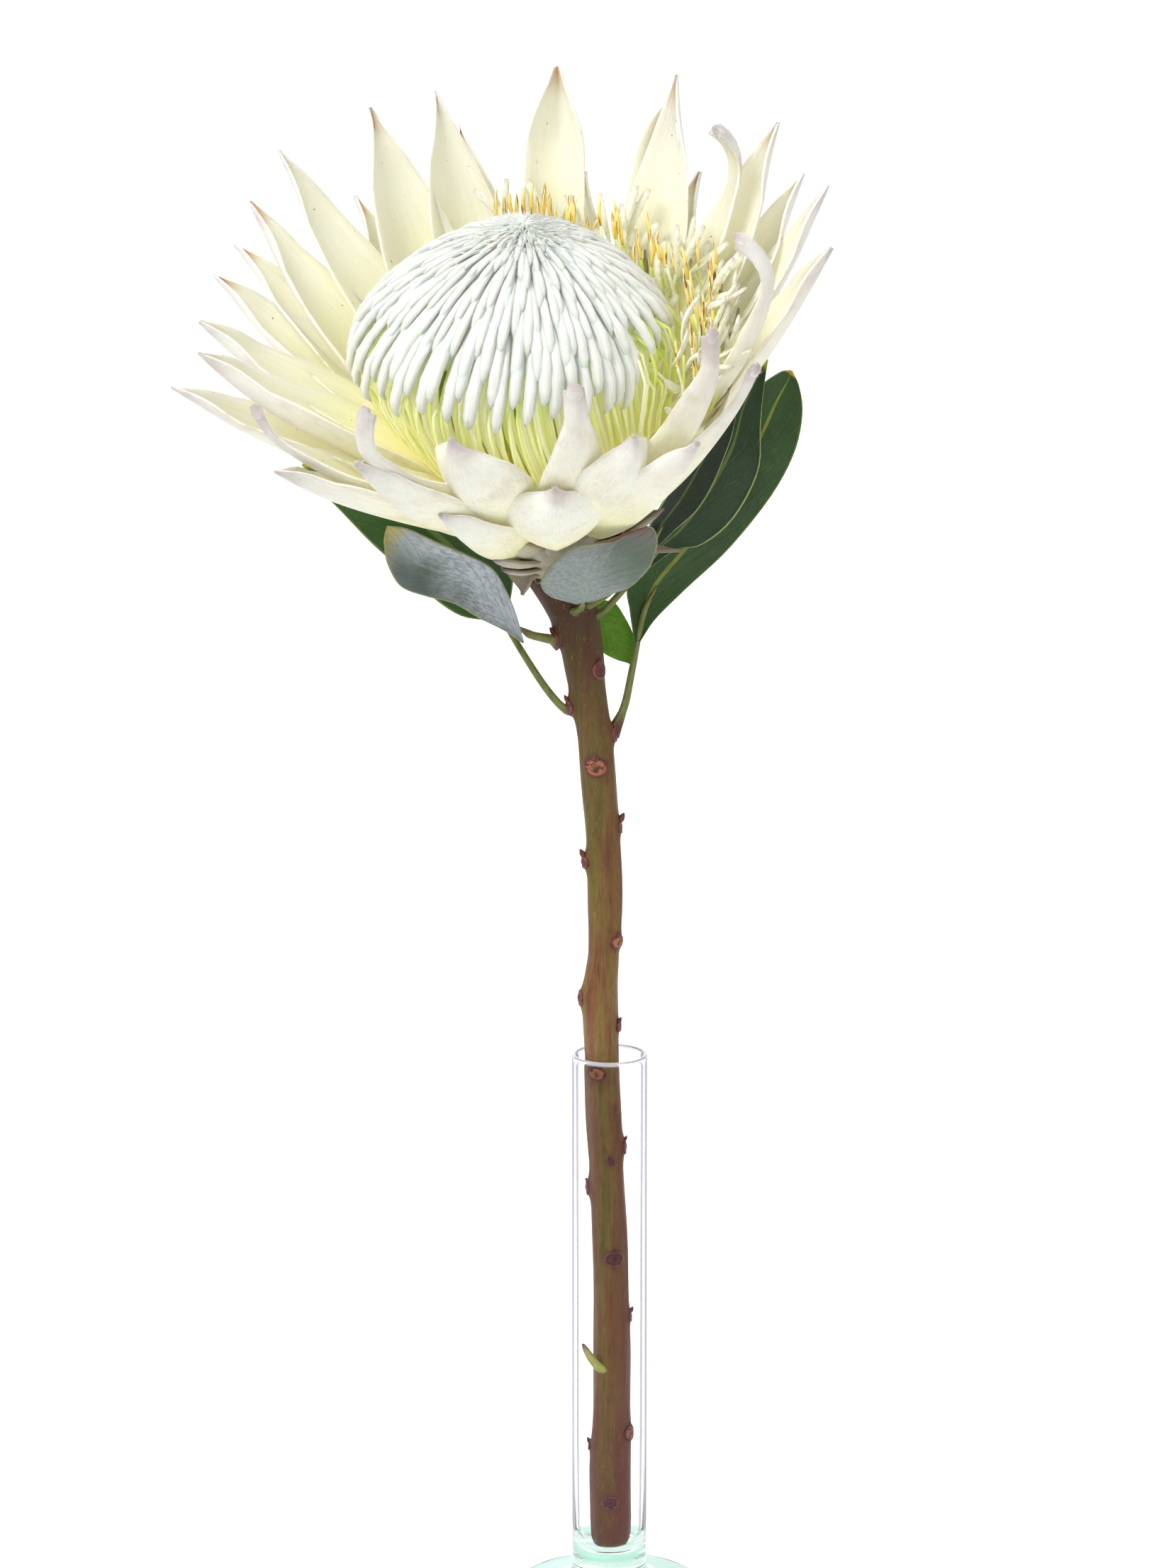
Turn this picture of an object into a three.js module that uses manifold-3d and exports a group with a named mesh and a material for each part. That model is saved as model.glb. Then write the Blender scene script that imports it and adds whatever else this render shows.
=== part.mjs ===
// A king protea bloom on its leafy stem, standing in a slim glass vase.
// Millimetres, +Z up. The origin is the middle of the vase's underside, and the front is towards -Y.
import * as THREE from "three";
import { mergeVertices } from "three/addons/utils/BufferGeometryUtils.js";
import Module from "manifold-3d";

const wasm = await Module();
wasm.setup();

const DEG = Math.PI / 180;
const GAP = 0.3; // clear space between two nodes that touch

// Vase: radii and heights of the tube, its solid floor and its round foot.
const VASE_HEIGHT = 197;
const TUBE_RADIUS = 13;
const TUBE_WALL = 1.5;
const LIP_ROUND = 0.6;
const FLOOR_TOP = 17;
const FLOOR_ROUND = 2;
const FOOT_RADIUS = 32;
const FOOT_THICKNESS = 4;
const FOOT_EDGE = 0.8;
const FOOT_FLARE = 2.6; // how far the foot's upper side rises towards the tube
const VASE_SIDES = 36;

// Stem: [x, y, height, radius] from the cut end up to the neck of the head.
const STEM_SIDES = 10;
const STEM_ROUTE = [
  [0.4, -1.8, FLOOR_TOP + GAP, 6.4],
  [0.4, -1.8, 20, 7.1],
  [0.4, -1.8, 28, 7.4],
  [0.2, -2.0, 47, 7.0],
  [0.8, -2.3, 67, 6.6],
  [1.1, -2.6, 92, 6.3],
  [0.3, -2.9, 120, 6.1],
  [-0.5, -3.1, 141, 5.9],
  [-1.5, -3.3, 168, 5.9],
  [-2.7, -3.5, 196, 6.0],
  [-3.3, -3.5, 219, 5.9],
  [-2.1, -3.4, 234, 5.4],
  [-1.7, -3.0, 249, 5.8],
  [-2.1, -2.2, 271, 6.0],
  [-3.5, -1.0, 292, 5.9],
  [-5.0, 0.6, 310, 6.0],
  [-8.3, 3.0, 329, 6.3],
  [-10.8, 4.6, 346, 7.5],
  [-14.0, 5.6, 357, 9.4],
];

// Marks on the stem: [height, angle round the stem, length, how far it stands out].
// The angle is 0 at the right and 270 at the front.
const STEM_SCARS = [
  [334, 290, 8, 1.6],
  [345, 200, 8, 2.6],
  [321, 190, 7, 2.2],
  [311, 350, 7, 2.0],
  [301, 265, 8, 1.6],
  [267, 195, 6, 2.0],
  [239, 320, 7, 1.4],
  [218, 180, 8, 1.6],
  [192, 255, 7, 0.7],
  [165, 355, 6, 1.2],
  [150, 185, 6, 1.6],
  [125, 285, 7, 1.2],
  [62, 325, 8, 1.4],
  [36, 270, 7, 1.0],
];
const SCAR_SINK = 1.5; // how deep the pad under a scar is sunk into the stem
const STEM_BUDS = [
  [279, 355, 7, 2.6],
  [208, 350, 6, 2.0],
  [103, 350, 6, 2.4],
  [90, 188, 11, 4.0],
  [55, 185, 5, 3.0],
];

// Head: its base in the middle of the neck, tipped towards the front and leaning a little to the left.
const HEAD_BASE = [-19, 6, 368.7];
const HEAD_TILT = 20;
const HEAD_LEAN = 4;
const HEAD_SIDES = 20;
const CORE_SIDES = 14;

// Bodies of revolution round the head's axis: [radius, height above the head's base].
const NECK_RADIUS = 11;
const RECEPTACLE_TOP = 13;
const RECEPTACLE = [
  [NECK_RADIUS, 0],
  [15, 3],
  [20, 8],
  [22, RECEPTACLE_TOP],
];
const INVOLUCRE_TOP = 42;
const INVOLUCRE_CORE = [
  [22, RECEPTACLE_TOP + GAP],
  [26, 20],
  [27, 28],
  [25, 36],
  [18, INVOLUCRE_TOP],
];

// The cap sits on the head a little askew: the middle of its underside, its own tilt to the front, and how
// it slants to the right. Its dome: [radius, height over that middle].
const CAP_MIDDLE = [-35, -21.3, 443.8];
const CAP_TILT = 13.5;
const CAP_SLANT = 0.12;
const CAP_DOME = [
  [47, 0],
  [50.5, 7],
  [48.5, 16],
  [43, 26],
  [34, 35.5],
  [24, 43],
  [12, 49],
  [2, 52.5],
];

// The bowl of styles, from the involucre up to the cap: [share of the way up, radius]. The styles bow out
// round the core. Where the bracts stand steep, at the back and the right, the bowl is narrower.
const STYLES_CORE = [
  [0, 17.5],
  [0.15, 27],
  [0.4, 34],
  [0.75, 39],
  [1, 41],
];
const STYLE_BOW = [
  [0.06, 17],
  [0.22, 37],
  [0.55, 48],
  [0.85, 49],
  [0.94, 39],
];
const STYLE_COUNT = 38;
const STYLE_RADII = [0.9, 1.3, 1.6, 1.5, 1.2];
const BOWL_NARROWING = 0.24;
const BOWL_NARROWEST = 90; // turn round the head where it is narrowest

// Rows of bracts, from the inner row out: [radius, height] of the middle of the root.
const BRACT_ROWS = [
  [24, 36],
  [26, 31],
  [27, 25],
  [26, 19],
];
const BRACT_THICKNESS = 0.8;
const BRACT_KEEL = 1;
const BRACT_CUP = 0.15; // how far the edges curl inwards, as a share of the width
const BRACT_ROOT = 4; // how far a root is sunk into the core
const BRACT_WIDEST = 0.35; // share of the length where a bract is widest
const BRACT_FOOT = 0.4; // its width at the root, as a share of the full width
const BRACT_TAPER = 1.8; // the higher, the blunter the tip
const BRACT_TIP = 0.5; // half the width left at the tip
const BRACT_HOOK_FROM = 0.8; // share of the length where a hooked tip starts to bend
const BRACT_ALONG = 5;
const BRACT_ACROSS = 2;
const BRACT_SLIM = 0.92;

// Bracts: [turn round the head, rise above level, length, width, row, curl, hook of the tip].
const BRACTS = [
  [16, 50, 126, 27, 1, 30, 0],
  [25, 50, 122, 27, 1, 30, 0],
  [30, 54, 131, 33, 0, 34, 0],
  [33, 58, 132, 19, 0, 40, 60],
  [47, 56, 131, 31, 0, 34, 0],
  [51, 50, 105, 25, 1, 30, 0],
  [59, 54, 129, 27, 1, 34, 0],
  [78, 50, 98, 25, 1, 30, 0],
  [83, 59, 131, 29, 0, 34, 0],
  [105, 54, 117, 27, 1, 34, 0],
  [111, 59, 127, 29, 0, 40, 0],
  [126, 57, 129, 32, 0, 44, 0],
  [134, 50, 105, 27, 1, 30, 0],
  [144, 54, 130, 31, 0, 34, 0],
  [156, 42, 116, 29, 1, 24, 0],
  [162, 48, 122, 31, 0, 34, 0],
  [165, 41, 116, 31, 1, 30, 0],
  [182, 39, 115, 30, 0, 30, 0],
  [200, 41, 125, 36, 0, 30, 0],
  [198, 36, 125, 28, 1, 20, 0],
  [213, 39, 115, 27, 1, 30, 20],
  [231, 43, 105, 25, 0, 40, 60],
  [216, 36, 100, 27, 2, 20, 0],
  [230, 44, 92, 29, 2, 30, 0],
  [246, 52, 77, 36, 1, 50, 20],
  [239, 44, 56, 28, 3, 30, 0],
  [283, 60, 91, 27, 1, 40, 40],
  [275, 49, 57, 42, 2, 55, 20],
  [298, 49, 76, 34, 1, 50, 20],
  [309, 46, 86, 29, 2, 30, 0],
  [320, 56, 108, 29, 1, 40, 0],
  [328, 51, 100, 28, 2, 30, 0],
  [345, 58, 128, 20, 0, 50, 70],
  [358, 52, 123, 29, 2, 20, 0],
];

// Short outer bracts behind the head: the first turn, the step, how many, and their sizes. Every second one
// is shorter and sits a row further out.
const BACK_BRACTS = { first: 40, step: 24, count: 6, rise: 44, curl: 30, length: 74, shorter: 14, width: 27 };

// Small pointed scales round the head's base, in two rings: [radius, height, rise] of their roots.
const SCALE_COUNT = 10;
const SCALE_RINGS = [
  [15, 4, 26],
  [11, 1, 12],
];
const SCALE_LENGTH = 17;
const SCALE_WIDTH = 13;
const SCALE_CURL = 30;
const SCALE_THICKNESS = 0.8;
const SCALE_KEEL = 0.6;
const SCALE_CUP = 0.3;
const SCALE_TAPER = 1.6;
const SCALE_TIP = 0.4;
const SCALE_ALONG = 3;

// Closed florets of the white cap, in rings from the rim to the top: [how many, length, thickness].
const CLUB_RINGS = [
  [36, 26, 2.3],
  [32, 22, 2.1],
  [26, 19, 1.9],
  [18, 17, 1.7],
  [11, 14, 1.5],
];
const CLUB_RING_STEP = 12.5; // distance from ring to ring along the dome
const CLUB_BEND = 0.4; // share of a club's length where it is thickest
const CLUB_LIFT = [1.6, 1.3, -1]; // height of its lower end, bend and top over the dome, in thicknesses
const CLUB_GIRTH = [0.7, 1, 0.5]; // radii at the same three places, in thicknesses

// Opened florets, in the sector where the cap has burst: [radius, height above the head's base]. Each leans
// out of the core and stands up beside the cap, its top at a height drawn between two.
const OPEN_FROM = -35;
const OPEN_TO = 105;
const OPEN_MARGIN = 6; // turn kept free of opened florets at either end of the sector
const OPEN_COUNT = 32;
const OPEN_SEED = 7;
const OPEN_ROOT = [28, 62];
const OPEN_BEND = [46, 67];
const OPEN_REACH = 57.5;
const OPEN_RISE = 84;
const OPEN_TOPS = [102, 112];
const OPEN_RADII = [1.2, 1.3, 1.3, 0.6];

// Leaves. stalk: its points from the stem outwards. edges: from the base to the tip, the left edge's and
// the right edge's point as the upper face shows them. fold: depth of the midrib, as a share of the width.
const LEAF_THICKNESS = 0.8;
const LEAF_FOLD = 0.12;
const STALK_RADIUS = 1.6;
const STALK_END_RADIUS = 0.9;
const STALK_SIDES = 5;
const LEAVES = {
  leaf_front: {
    colour: 0x87928b,
    stalk: [[-12.3, -4.1, 355.5], [-10, -12, 358]],
    edges: [
      [-11.5, -22, 362, -6, -20, 362.5],
      [-20.5, -29, 366.5, 2, -26, 367],
      [-23.5, -33, 371, 7.5, -30, 370.5],
      [-22, -36, 376, 11.5, -34, 375],
      [-18.5, -39, 380.5, 14.5, -38, 381],
      [-14, -41, 385, 16, -42, 387.5],
      [-6, -43, 387, 15, -44, 392.5],
      [1.5, -44, 388.5, 12.5, -45, 394],
    ],
    fold: 0.04,
  },
  leaf_silver: {
    colour: 0x8a9698,
    stalk: [[-20.5, 0.8, 344.5], [-24, -1, 345.5], [-27.5, -2, 346]],
    edges: [
      [-30, -2, 344, -29.5, -1, 343.5],
      [-36, -6, 349, -32, -3, 353.5],
      [-44, -12, 354.5, -36, -7, 365],
      [-53, -17, 361, -41, -12, 373],
      [-62.5, -21, 364.5, -49.5, -17, 378.5],
      [-71, -24, 368.5, -59, -21, 383.5],
      [-75.5, -26, 377, -68.5, -24, 388.5],
      [-76.5, -27, 384.5, -75.5, -26, 390],
    ],
  },
  leaf_left: {
    colour: 0x3d5a2c,
    stalk: [[-16, 2, 320], [-22, 6, 326], [-29.5, 11, 336.5]],
    edges: [
      [-38, 14, 345.5, -36.5, 14, 345],
      [-42.5, 16, 347.5, -34.5, 15, 354],
      [-51.5, 19, 348.5, -33.5, 15, 365],
      [-61, 21, 354.5, -38, 16, 376],
      [-71, 23, 363, -47.5, 18, 387],
      [-82, 24, 373, -61, 19, 395.5],
      [-92.5, 24, 384, -75.5, 20, 401.5],
      [-101, 23, 393.5, -90, 21, 403.5],
      [-106, 22, 401, -105, 22, 402],
    ],
  },
  leaf_tall: {
    colour: 0x40573a,
    stalk: [[3.9, 0.9, 311.5], [5, 4, 320], [7.5, 7.5, 331]],
    edges: [
      [8.5, 8, 342, 10.5, 8, 342],
      [7, 9, 352.5, 16, 11, 349.5],
      [6.5, 9, 362.5, 26, 14, 359],
      [15.5, 10, 376.5, 40.5, 17, 372],
      [28, 11, 395, 55.5, 19, 391],
      [40, 12, 414.5, 63.5, 19, 406],
      [49, 13, 428, 66, 18, 419.5],
      [57.5, 15, 434.5, 65, 17, 429],
      [61.5, 16, 435.5, 62.5, 16, 435],
    ],
  },
  leaf_wavy: {
    colour: 0x34492d,
    stalk: [[-3.4, 3, 353], [1, 4, 357]],
    edges: [
      [6, 4, 362.5, 7, 4, 363.5],
      [8.5, 3, 369.5, 15, 6, 369.5],
      [13.5, 3, 377, 23, 8, 374.5],
      [20.5, 3, 389, 31.5, 10, 375.5],
      [27.5, 3, 404, 42.5, 11, 385],
      [35, 4, 418.5, 51, 12, 401],
      [42, 5, 431, 51.5, 12, 417],
      [48.5, 7, 438, 52.5, 11, 428.5],
      [53, 9, 441, 54, 9, 440.5],
    ],
  },
  leaf_inner: {
    colour: 0x2f4427,
    stalk: [[-5.9, -1.2, 357.5], [2.5, -2, 364]],
    edges: [
      [8, -1, 369, 9, -1, 369.5],
      [10.5, -3, 377, 15.5, 1, 376],
      [14.5, -4, 387, 21.5, 2, 382],
      [20.5, -5, 398.5, 29.5, 2, 389],
      [27, -5, 409.5, 36, 3, 400.5],
      [33, -4, 419, 40.5, 3, 411.5],
      [38.5, -2, 425, 42.5, 1, 420.5],
      [42.5, 0, 427, 43.5, 0, 426.5],
    ],
  },
  leaf_small: {
    colour: 0x6f9a2f,
    stalk: [[-14, 17, 359.5]],
    edges: [
      [-11, 16, 357, -10, 16, 358.5],
      [-8.5, 16, 346.5, -2.5, 16, 355],
      [-6, 16, 340, 2, 16.5, 353.5],
      [-2.5, 16, 336.5, 5.5, 16, 348],
      [2, 15.5, 334, 8.5, 15, 342],
      [6, 14.5, 333, 9, 14.5, 337],
      [7, 14, 332.5, 8, 14, 333],
    ],
  },
};

const UP = new THREE.Vector3(0, 0, 1);

// A repeatable stream of numbers between 0 and 1.
function seeded(seed) {
  let state = seed;
  return () => {
    state = (state * 1664525 + 1013904223) % 4294967296;
    return state / 4294967296;
  };
}

function meshOf(points, faces) {
  const positions = points.flatMap((point) => point.toArray());
  const geometry = new THREE.BufferGeometry();
  geometry.setAttribute("position", new THREE.Float32BufferAttribute(positions, 3));
  geometry.setIndex(faces);
  return geometry;
}

// A closed solid through rings of points that run anticlockwise about the way it goes, with flat ends.
function loft(rings) {
  const sides = rings[0].length;
  const last = (rings.length - 1) * sides;
  const faces = [];
  for (let i = 0; i < last; i += sides) {
    for (let k = 0; k < sides; k++) {
      const a = i + k;
      const b = i + ((k + 1) % sides);
      faces.push(a, b, b + sides, a, b + sides, a + sides);
    }
  }
  for (let k = 1; k + 1 < sides; k++) {
    faces.push(0, k + 1, k, last, last + k, last + k + 1);
  }
  return meshOf(rings.flat(), faces);
}

// A body of revolution about Z: the profile starts and ends with a flat round face.
function revolve(profile, sides) {
  return loft(
    profile.map(([radius, height]) => {
      const ring = [];
      for (let k = 0; k < sides; k++) {
        const turn = (2 * Math.PI * k) / sides;
        ring.push(new THREE.Vector3(radius * Math.cos(turn), radius * Math.sin(turn), height));
      }
      return ring;
    })
  );
}

// A rod along points with a radius at each, square to its route; the last ring may face its own way.
function rod(route, radii, sides, endAxis) {
  const last = route.length - 1;
  const whole = route[last].clone().sub(route[0]).normalize();
  const rings = route.map((point, i) => {
    const ahead = route[Math.min(i + 1, last)].clone();
    const along = ahead.sub(route[Math.max(i - 1, 0)]).normalize();
    if (endAxis && i === last) along.copy(endAxis);
    const first = Math.abs(whole.z) > 0.9 ? new THREE.Vector3(1, 0, 0) : UP.clone();
    first.addScaledVector(along, -first.dot(along)).normalize();
    const second = new THREE.Vector3().crossVectors(along, first);
    const ring = [];
    for (let k = 0; k < sides; k++) {
      const turn = (2 * Math.PI * k) / sides;
      const spot = point.clone().addScaledVector(first, radii[i] * Math.cos(turn));
      ring.push(spot.addScaledVector(second, radii[i] * Math.sin(turn)));
    }
    return ring;
  });
  return loft(rings);
}

// A closed blade. place(u, v) gives a point of its middle surface, for u from -1 to 1 across and v from
// 0 to 1 along, with the direction its upper face looks. Both faces are cut into triangles alike.
function blade(across, along, thickness, place) {
  const upper = [];
  const lower = [];
  for (let j = 0; j <= along; j++) {
    for (let i = 0; i <= across; i++) {
      const u = (2 * i) / across - 1;
      const v = j / along;
      const { point, face } = place(u, v);
      const half = thickness(u, v) / 2;
      upper.push(point.clone().addScaledVector(face, half));
      lower.push(point.clone().addScaledVector(face, -half));
    }
  }
  const row = across + 1;
  const under = upper.length;
  const faces = [];
  for (let j = 0; j < along; j++) {
    for (let i = 0; i < across; i++) {
      const a = j * row + i;
      const b = a + 1;
      const c = b + row;
      const d = a + row;
      faces.push(a, b, c, a, c, d);
      faces.push(a + under, c + under, b + under, a + under, d + under, c + under);
    }
    const left = j * row;
    const right = left + across;
    faces.push(left, left + row, left + row + under, left, left + row + under, left + under);
    faces.push(right + under, right + row + under, right + row, right + under, right + row, right);
  }
  const end = along * row;
  for (let i = 0; i < across; i++) {
    faces.push(i + under, i + 1 + under, i + 1, i + under, i + 1, i);
    faces.push(end + i, end + i + 1, end + i + 1 + under, end + i, end + i + 1 + under, end + i + under);
  }
  return meshOf(upper.concat(lower), faces);
}

function toSolid(geometry) {
  const bare = geometry.clone();
  bare.deleteAttribute("normal");
  bare.deleteAttribute("uv");
  const merged = mergeVertices(bare);
  const vertProperties = new Float32Array(merged.attributes.position.array);
  const triVerts = new Uint32Array(merged.index.array);
  return new wasm.Manifold(new wasm.Mesh({ numProp: 3, vertProperties, triVerts }));
}

// Joins solids that overlap. Loose scraps and sealed hollows are left out.
function fuse(geometries) {
  let whole = toSolid(geometries[0]);
  for (const geometry of geometries.slice(1)) whole = whole.add(toSolid(geometry));
  const bodies = whole.decompose();
  bodies.sort((a, b) => b.volume() - a.volume());
  const { vertProperties, triVerts } = bodies[0].getMesh();
  const joined = new THREE.BufferGeometry();
  joined.setAttribute("position", new THREE.BufferAttribute(vertProperties, 3));
  joined.setIndex(new THREE.BufferAttribute(triVerts, 1));
  return joined;
}

// Direction away from the head's axis at a turn round it, and the direction round it.
function outward(turn) {
  return new THREE.Vector3(Math.cos(turn * DEG), Math.sin(turn * DEG), 0);
}

function around(turn) {
  return new THREE.Vector3(-Math.sin(turn * DEG), Math.cos(turn * DEG), 0);
}

// Points at one turn round the head's axis, from a list of [radius, height].
function routeAt(turn, points) {
  return points.map(([radius, height]) => outward(turn).multiplyScalar(radius).addScaledVector(UP, height));
}

// Share of a bract's full width at a share of its length.
function bractWidth(v) {
  if (v < BRACT_WIDEST) return BRACT_FOOT + (1 - BRACT_FOOT) * Math.sin((v / BRACT_WIDEST) * (Math.PI / 2));
  return 1 - ((v - BRACT_WIDEST) / (1 - BRACT_WIDEST)) ** BRACT_TAPER;
}

// The middle line of a bract: points and directions at equal steps, rising more and more steeply.
function bractLine(turn, rise, length, curl, hook, root, steps) {
  const away = outward(turn);
  const point = away.clone().multiplyScalar(root[0]).addScaledVector(UP, root[1]);
  const direction = (share) => {
    const bend = Math.max(0, share - BRACT_HOOK_FROM) / (1 - BRACT_HOOK_FROM);
    const angle = (rise + curl * (share - 0.5) + hook * bend) * DEG;
    return away.clone().multiplyScalar(Math.cos(angle)).addScaledVector(UP, Math.sin(angle));
  };
  const line = [];
  for (let i = 0; i <= steps; i++) {
    line.push({ point: point.clone(), along: direction(i / steps) });
    point.addScaledVector(direction((i + 0.5) / steps), length / steps);
  }
  return line;
}

function bract([turn, rise, length, width, row, curl, hook]) {
  const line = bractLine(turn, rise, length + BRACT_ROOT, curl, hook, BRACT_ROWS[row], BRACT_ALONG);
  const side = around(turn).negate();
  const thickness = (u, v) => BRACT_THICKNESS + BRACT_KEEL * (1 - u * u) * (1 - v);
  return blade(BRACT_ACROSS, BRACT_ALONG, thickness, (u, v) => {
    const { point, along } = line[Math.round(v * BRACT_ALONG)];
    const half = Math.max(BRACT_TIP, (bractWidth(v) * BRACT_SLIM * width) / 2);
    const face = new THREE.Vector3().crossVectors(side, along);
    const spot = point.clone().addScaledVector(along, -BRACT_ROOT);
    spot.addScaledVector(side, u * half).addScaledVector(face, 2 * BRACT_CUP * half * u * u);
    return { point: spot, face };
  });
}

function involucre() {
  const pieces = [revolve(INVOLUCRE_CORE, CORE_SIDES)];
  for (const sizes of BRACTS) pieces.push(bract(sizes));
  const { first, step, count, rise, curl, length, shorter, width } = BACK_BRACTS;
  for (let k = 0; k < count; k++) {
    const odd = k % 2;
    pieces.push(bract([first + k * step, rise, length - shorter * odd, width, 2 + odd, curl, 0]));
  }
  return fuse(pieces);
}

// The woolly base of the head, with two rings of pointed scales pressed to it.
function receptacle() {
  const pieces = [revolve(RECEPTACLE, HEAD_SIDES)];
  for (let k = 0; k < SCALE_COUNT; k++) {
    const turn = (360 * (k + 0.5)) / SCALE_COUNT;
    const [radius, height, rise] = SCALE_RINGS[k % 2];
    const line = bractLine(turn, rise, SCALE_LENGTH, SCALE_CURL, 0, [radius, height], SCALE_ALONG);
    const side = around(turn).negate();
    const scale = blade(2, SCALE_ALONG, (u) => SCALE_THICKNESS + SCALE_KEEL * (1 - u * u), (u, v) => {
      const { point, along } = line[Math.round(v * SCALE_ALONG)];
      const half = Math.max(SCALE_TIP, (SCALE_WIDTH / 2) * (1 - v ** SCALE_TAPER));
      const face = new THREE.Vector3().crossVectors(side, along);
      const spot = point.clone().addScaledVector(side, u * half);
      return { point: spot.addScaledVector(face, SCALE_CUP * half * u * u), face };
    });
    pieces.push(scale);
  }
  return fuse(pieces);
}

// A point over a [radius, height] profile: its turn, its distance along the profile, and its lift off it.
function onProfile(profile, turn, distance, lift) {
  let rest = distance;
  let i = 0;
  let span = profileSpan(profile, i);
  while (rest > span && i + 2 < profile.length) {
    rest -= span;
    i++;
    span = profileSpan(profile, i);
  }
  const [radius, height] = profile[i];
  const outwardRun = (profile[i + 1][0] - radius) / span;
  const upwardRun = (profile[i + 1][1] - height) / span;
  const place = [radius + outwardRun * rest + upwardRun * lift, height + upwardRun * rest - outwardRun * lift];
  return routeAt(turn, [place])[0];
}

function profileSpan(profile, i) {
  return Math.hypot(profile[i + 1][0] - profile[i][0], profile[i + 1][1] - profile[i][1]);
}

// The dome of closed florets: clubs that point to the top, ring over ring, each ring half a step on. It is
// made upright and slanted last.
function whiteCap() {
  const pieces = [revolve(CAP_DOME, HEAD_SIDES)];
  CLUB_RINGS.forEach(([count, length, thickness], ring) => {
    const start = ring * CLUB_RING_STEP;
    const places = [start, start + length * CLUB_BEND, start + length];
    for (let k = 0; k < count; k++) {
      const turn = (360 * (k + (ring % 2) / 2)) / count;
      if (ring === 0 && inOpenSector(turn)) continue;
      const route = places.map((place, i) => onProfile(CAP_DOME, turn, place, thickness * CLUB_LIFT[i]));
      pieces.push(rod(route, CLUB_GIRTH.map((share) => thickness * share), 3));
    }
  });
  return fuse(pieces).applyMatrix4(new THREE.Matrix4().makeShear(0, 0, 0, 0, CAP_SLANT, 0));
}

function inOpenSector(turn) {
  const wrapped = turn > 180 ? turn - 360 : turn;
  return wrapped > OPEN_FROM && wrapped < OPEN_TO;
}

// A point of the bowl between the involucre and the cap, at a turn, a share of the way up and a radius.
function bowlPoint(turn, share, radius) {
  const { right, back, axis } = headFrame();
  const foot = new THREE.Vector3(...HEAD_BASE).addScaledVector(axis, INVOLUCRE_TOP + GAP);
  const tilt = CAP_TILT * DEG;
  const capBack = new THREE.Vector3(0, Math.cos(tilt), Math.sin(tilt));
  const underside = new THREE.Vector3(...CAP_MIDDLE).addScaledVector(capUp(), -GAP);
  const narrow = 1 - BOWL_NARROWING * (0.5 + 0.5 * Math.cos((turn - BOWL_NARROWEST) * DEG));
  const across = right.clone().lerp(new THREE.Vector3(1, 0, 0), share);
  return foot
    .lerp(underside, share)
    .addScaledVector(across, radius * narrow * Math.cos(turn * DEG))
    .addScaledVector(back.clone().lerp(capBack, share), radius * narrow * Math.sin(turn * DEG));
}

function capUp() {
  return new THREE.Vector3(0, -Math.sin(CAP_TILT * DEG), Math.cos(CAP_TILT * DEG));
}

// The skirt of bowed styles, and the opened florets that stand up beside the cap.
function styles() {
  const rings = STYLES_CORE.map(([share, radius]) => {
    const ring = [];
    for (let k = 0; k < HEAD_SIDES; k++) ring.push(bowlPoint((360 * k) / HEAD_SIDES, share, radius));
    return ring;
  });
  const pieces = [loft(rings)];
  for (let k = 0; k < STYLE_COUNT; k++) {
    const turn = (360 * (k + 0.5)) / STYLE_COUNT;
    const route = STYLE_BOW.map(([share, radius]) => bowlPoint(turn, share, radius));
    pieces.push(rod(route, STYLE_RADII, 3));
  }
  const { right, back, axis } = headFrame();
  const toFlower = new THREE.Matrix4().makeBasis(right, back, axis).setPosition(...HEAD_BASE);
  const random = seeded(OPEN_SEED);
  for (let k = 0; k < OPEN_COUNT; k++) {
    const share = (k + random()) / OPEN_COUNT;
    const turn = OPEN_FROM + OPEN_MARGIN + (OPEN_TO - OPEN_FROM - 2 * OPEN_MARGIN) * share;
    const top = OPEN_TOPS[0] + (OPEN_TOPS[1] - OPEN_TOPS[0]) * random();
    const points = [OPEN_ROOT, OPEN_BEND, [OPEN_REACH, OPEN_RISE], [OPEN_REACH, top]];
    const route = routeAt(turn, points).map((point) => point.applyMatrix4(toFlower));
    pieces.push(rod(route, OPEN_RADII, 3));
  }
  return fuse(pieces);
}

// The glass: up the outside from the foot, over the rounded lip, and down the inside to the floor.
function vase() {
  const inside = TUBE_RADIUS - TUBE_WALL;
  return revolve(
    [
      [FOOT_RADIUS - FOOT_EDGE, 0],
      [FOOT_RADIUS, FOOT_EDGE],
      [FOOT_RADIUS, FOOT_THICKNESS - FOOT_EDGE],
      [FOOT_RADIUS - FOOT_EDGE, FOOT_THICKNESS],
      [TUBE_RADIUS + 4, FOOT_THICKNESS + FOOT_FLARE / 2],
      [TUBE_RADIUS + 1, FOOT_THICKNESS + FOOT_FLARE],
      [TUBE_RADIUS, FOOT_THICKNESS + 2 * FOOT_FLARE],
      [TUBE_RADIUS, VASE_HEIGHT - LIP_ROUND],
      [TUBE_RADIUS - LIP_ROUND, VASE_HEIGHT],
      [inside + LIP_ROUND, VASE_HEIGHT],
      [inside, VASE_HEIGHT - LIP_ROUND],
      [inside, FLOOR_TOP + 2 * FLOOR_ROUND],
      [inside - FLOOR_ROUND / 2, FLOOR_TOP + FLOOR_ROUND / 2],
      [inside - FLOOR_ROUND, FLOOR_TOP],
    ],
    VASE_SIDES
  );
}

const STEM_POINTS = STEM_ROUTE.map(([x, y, height]) => new THREE.Vector3(x, y, height));

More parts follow.
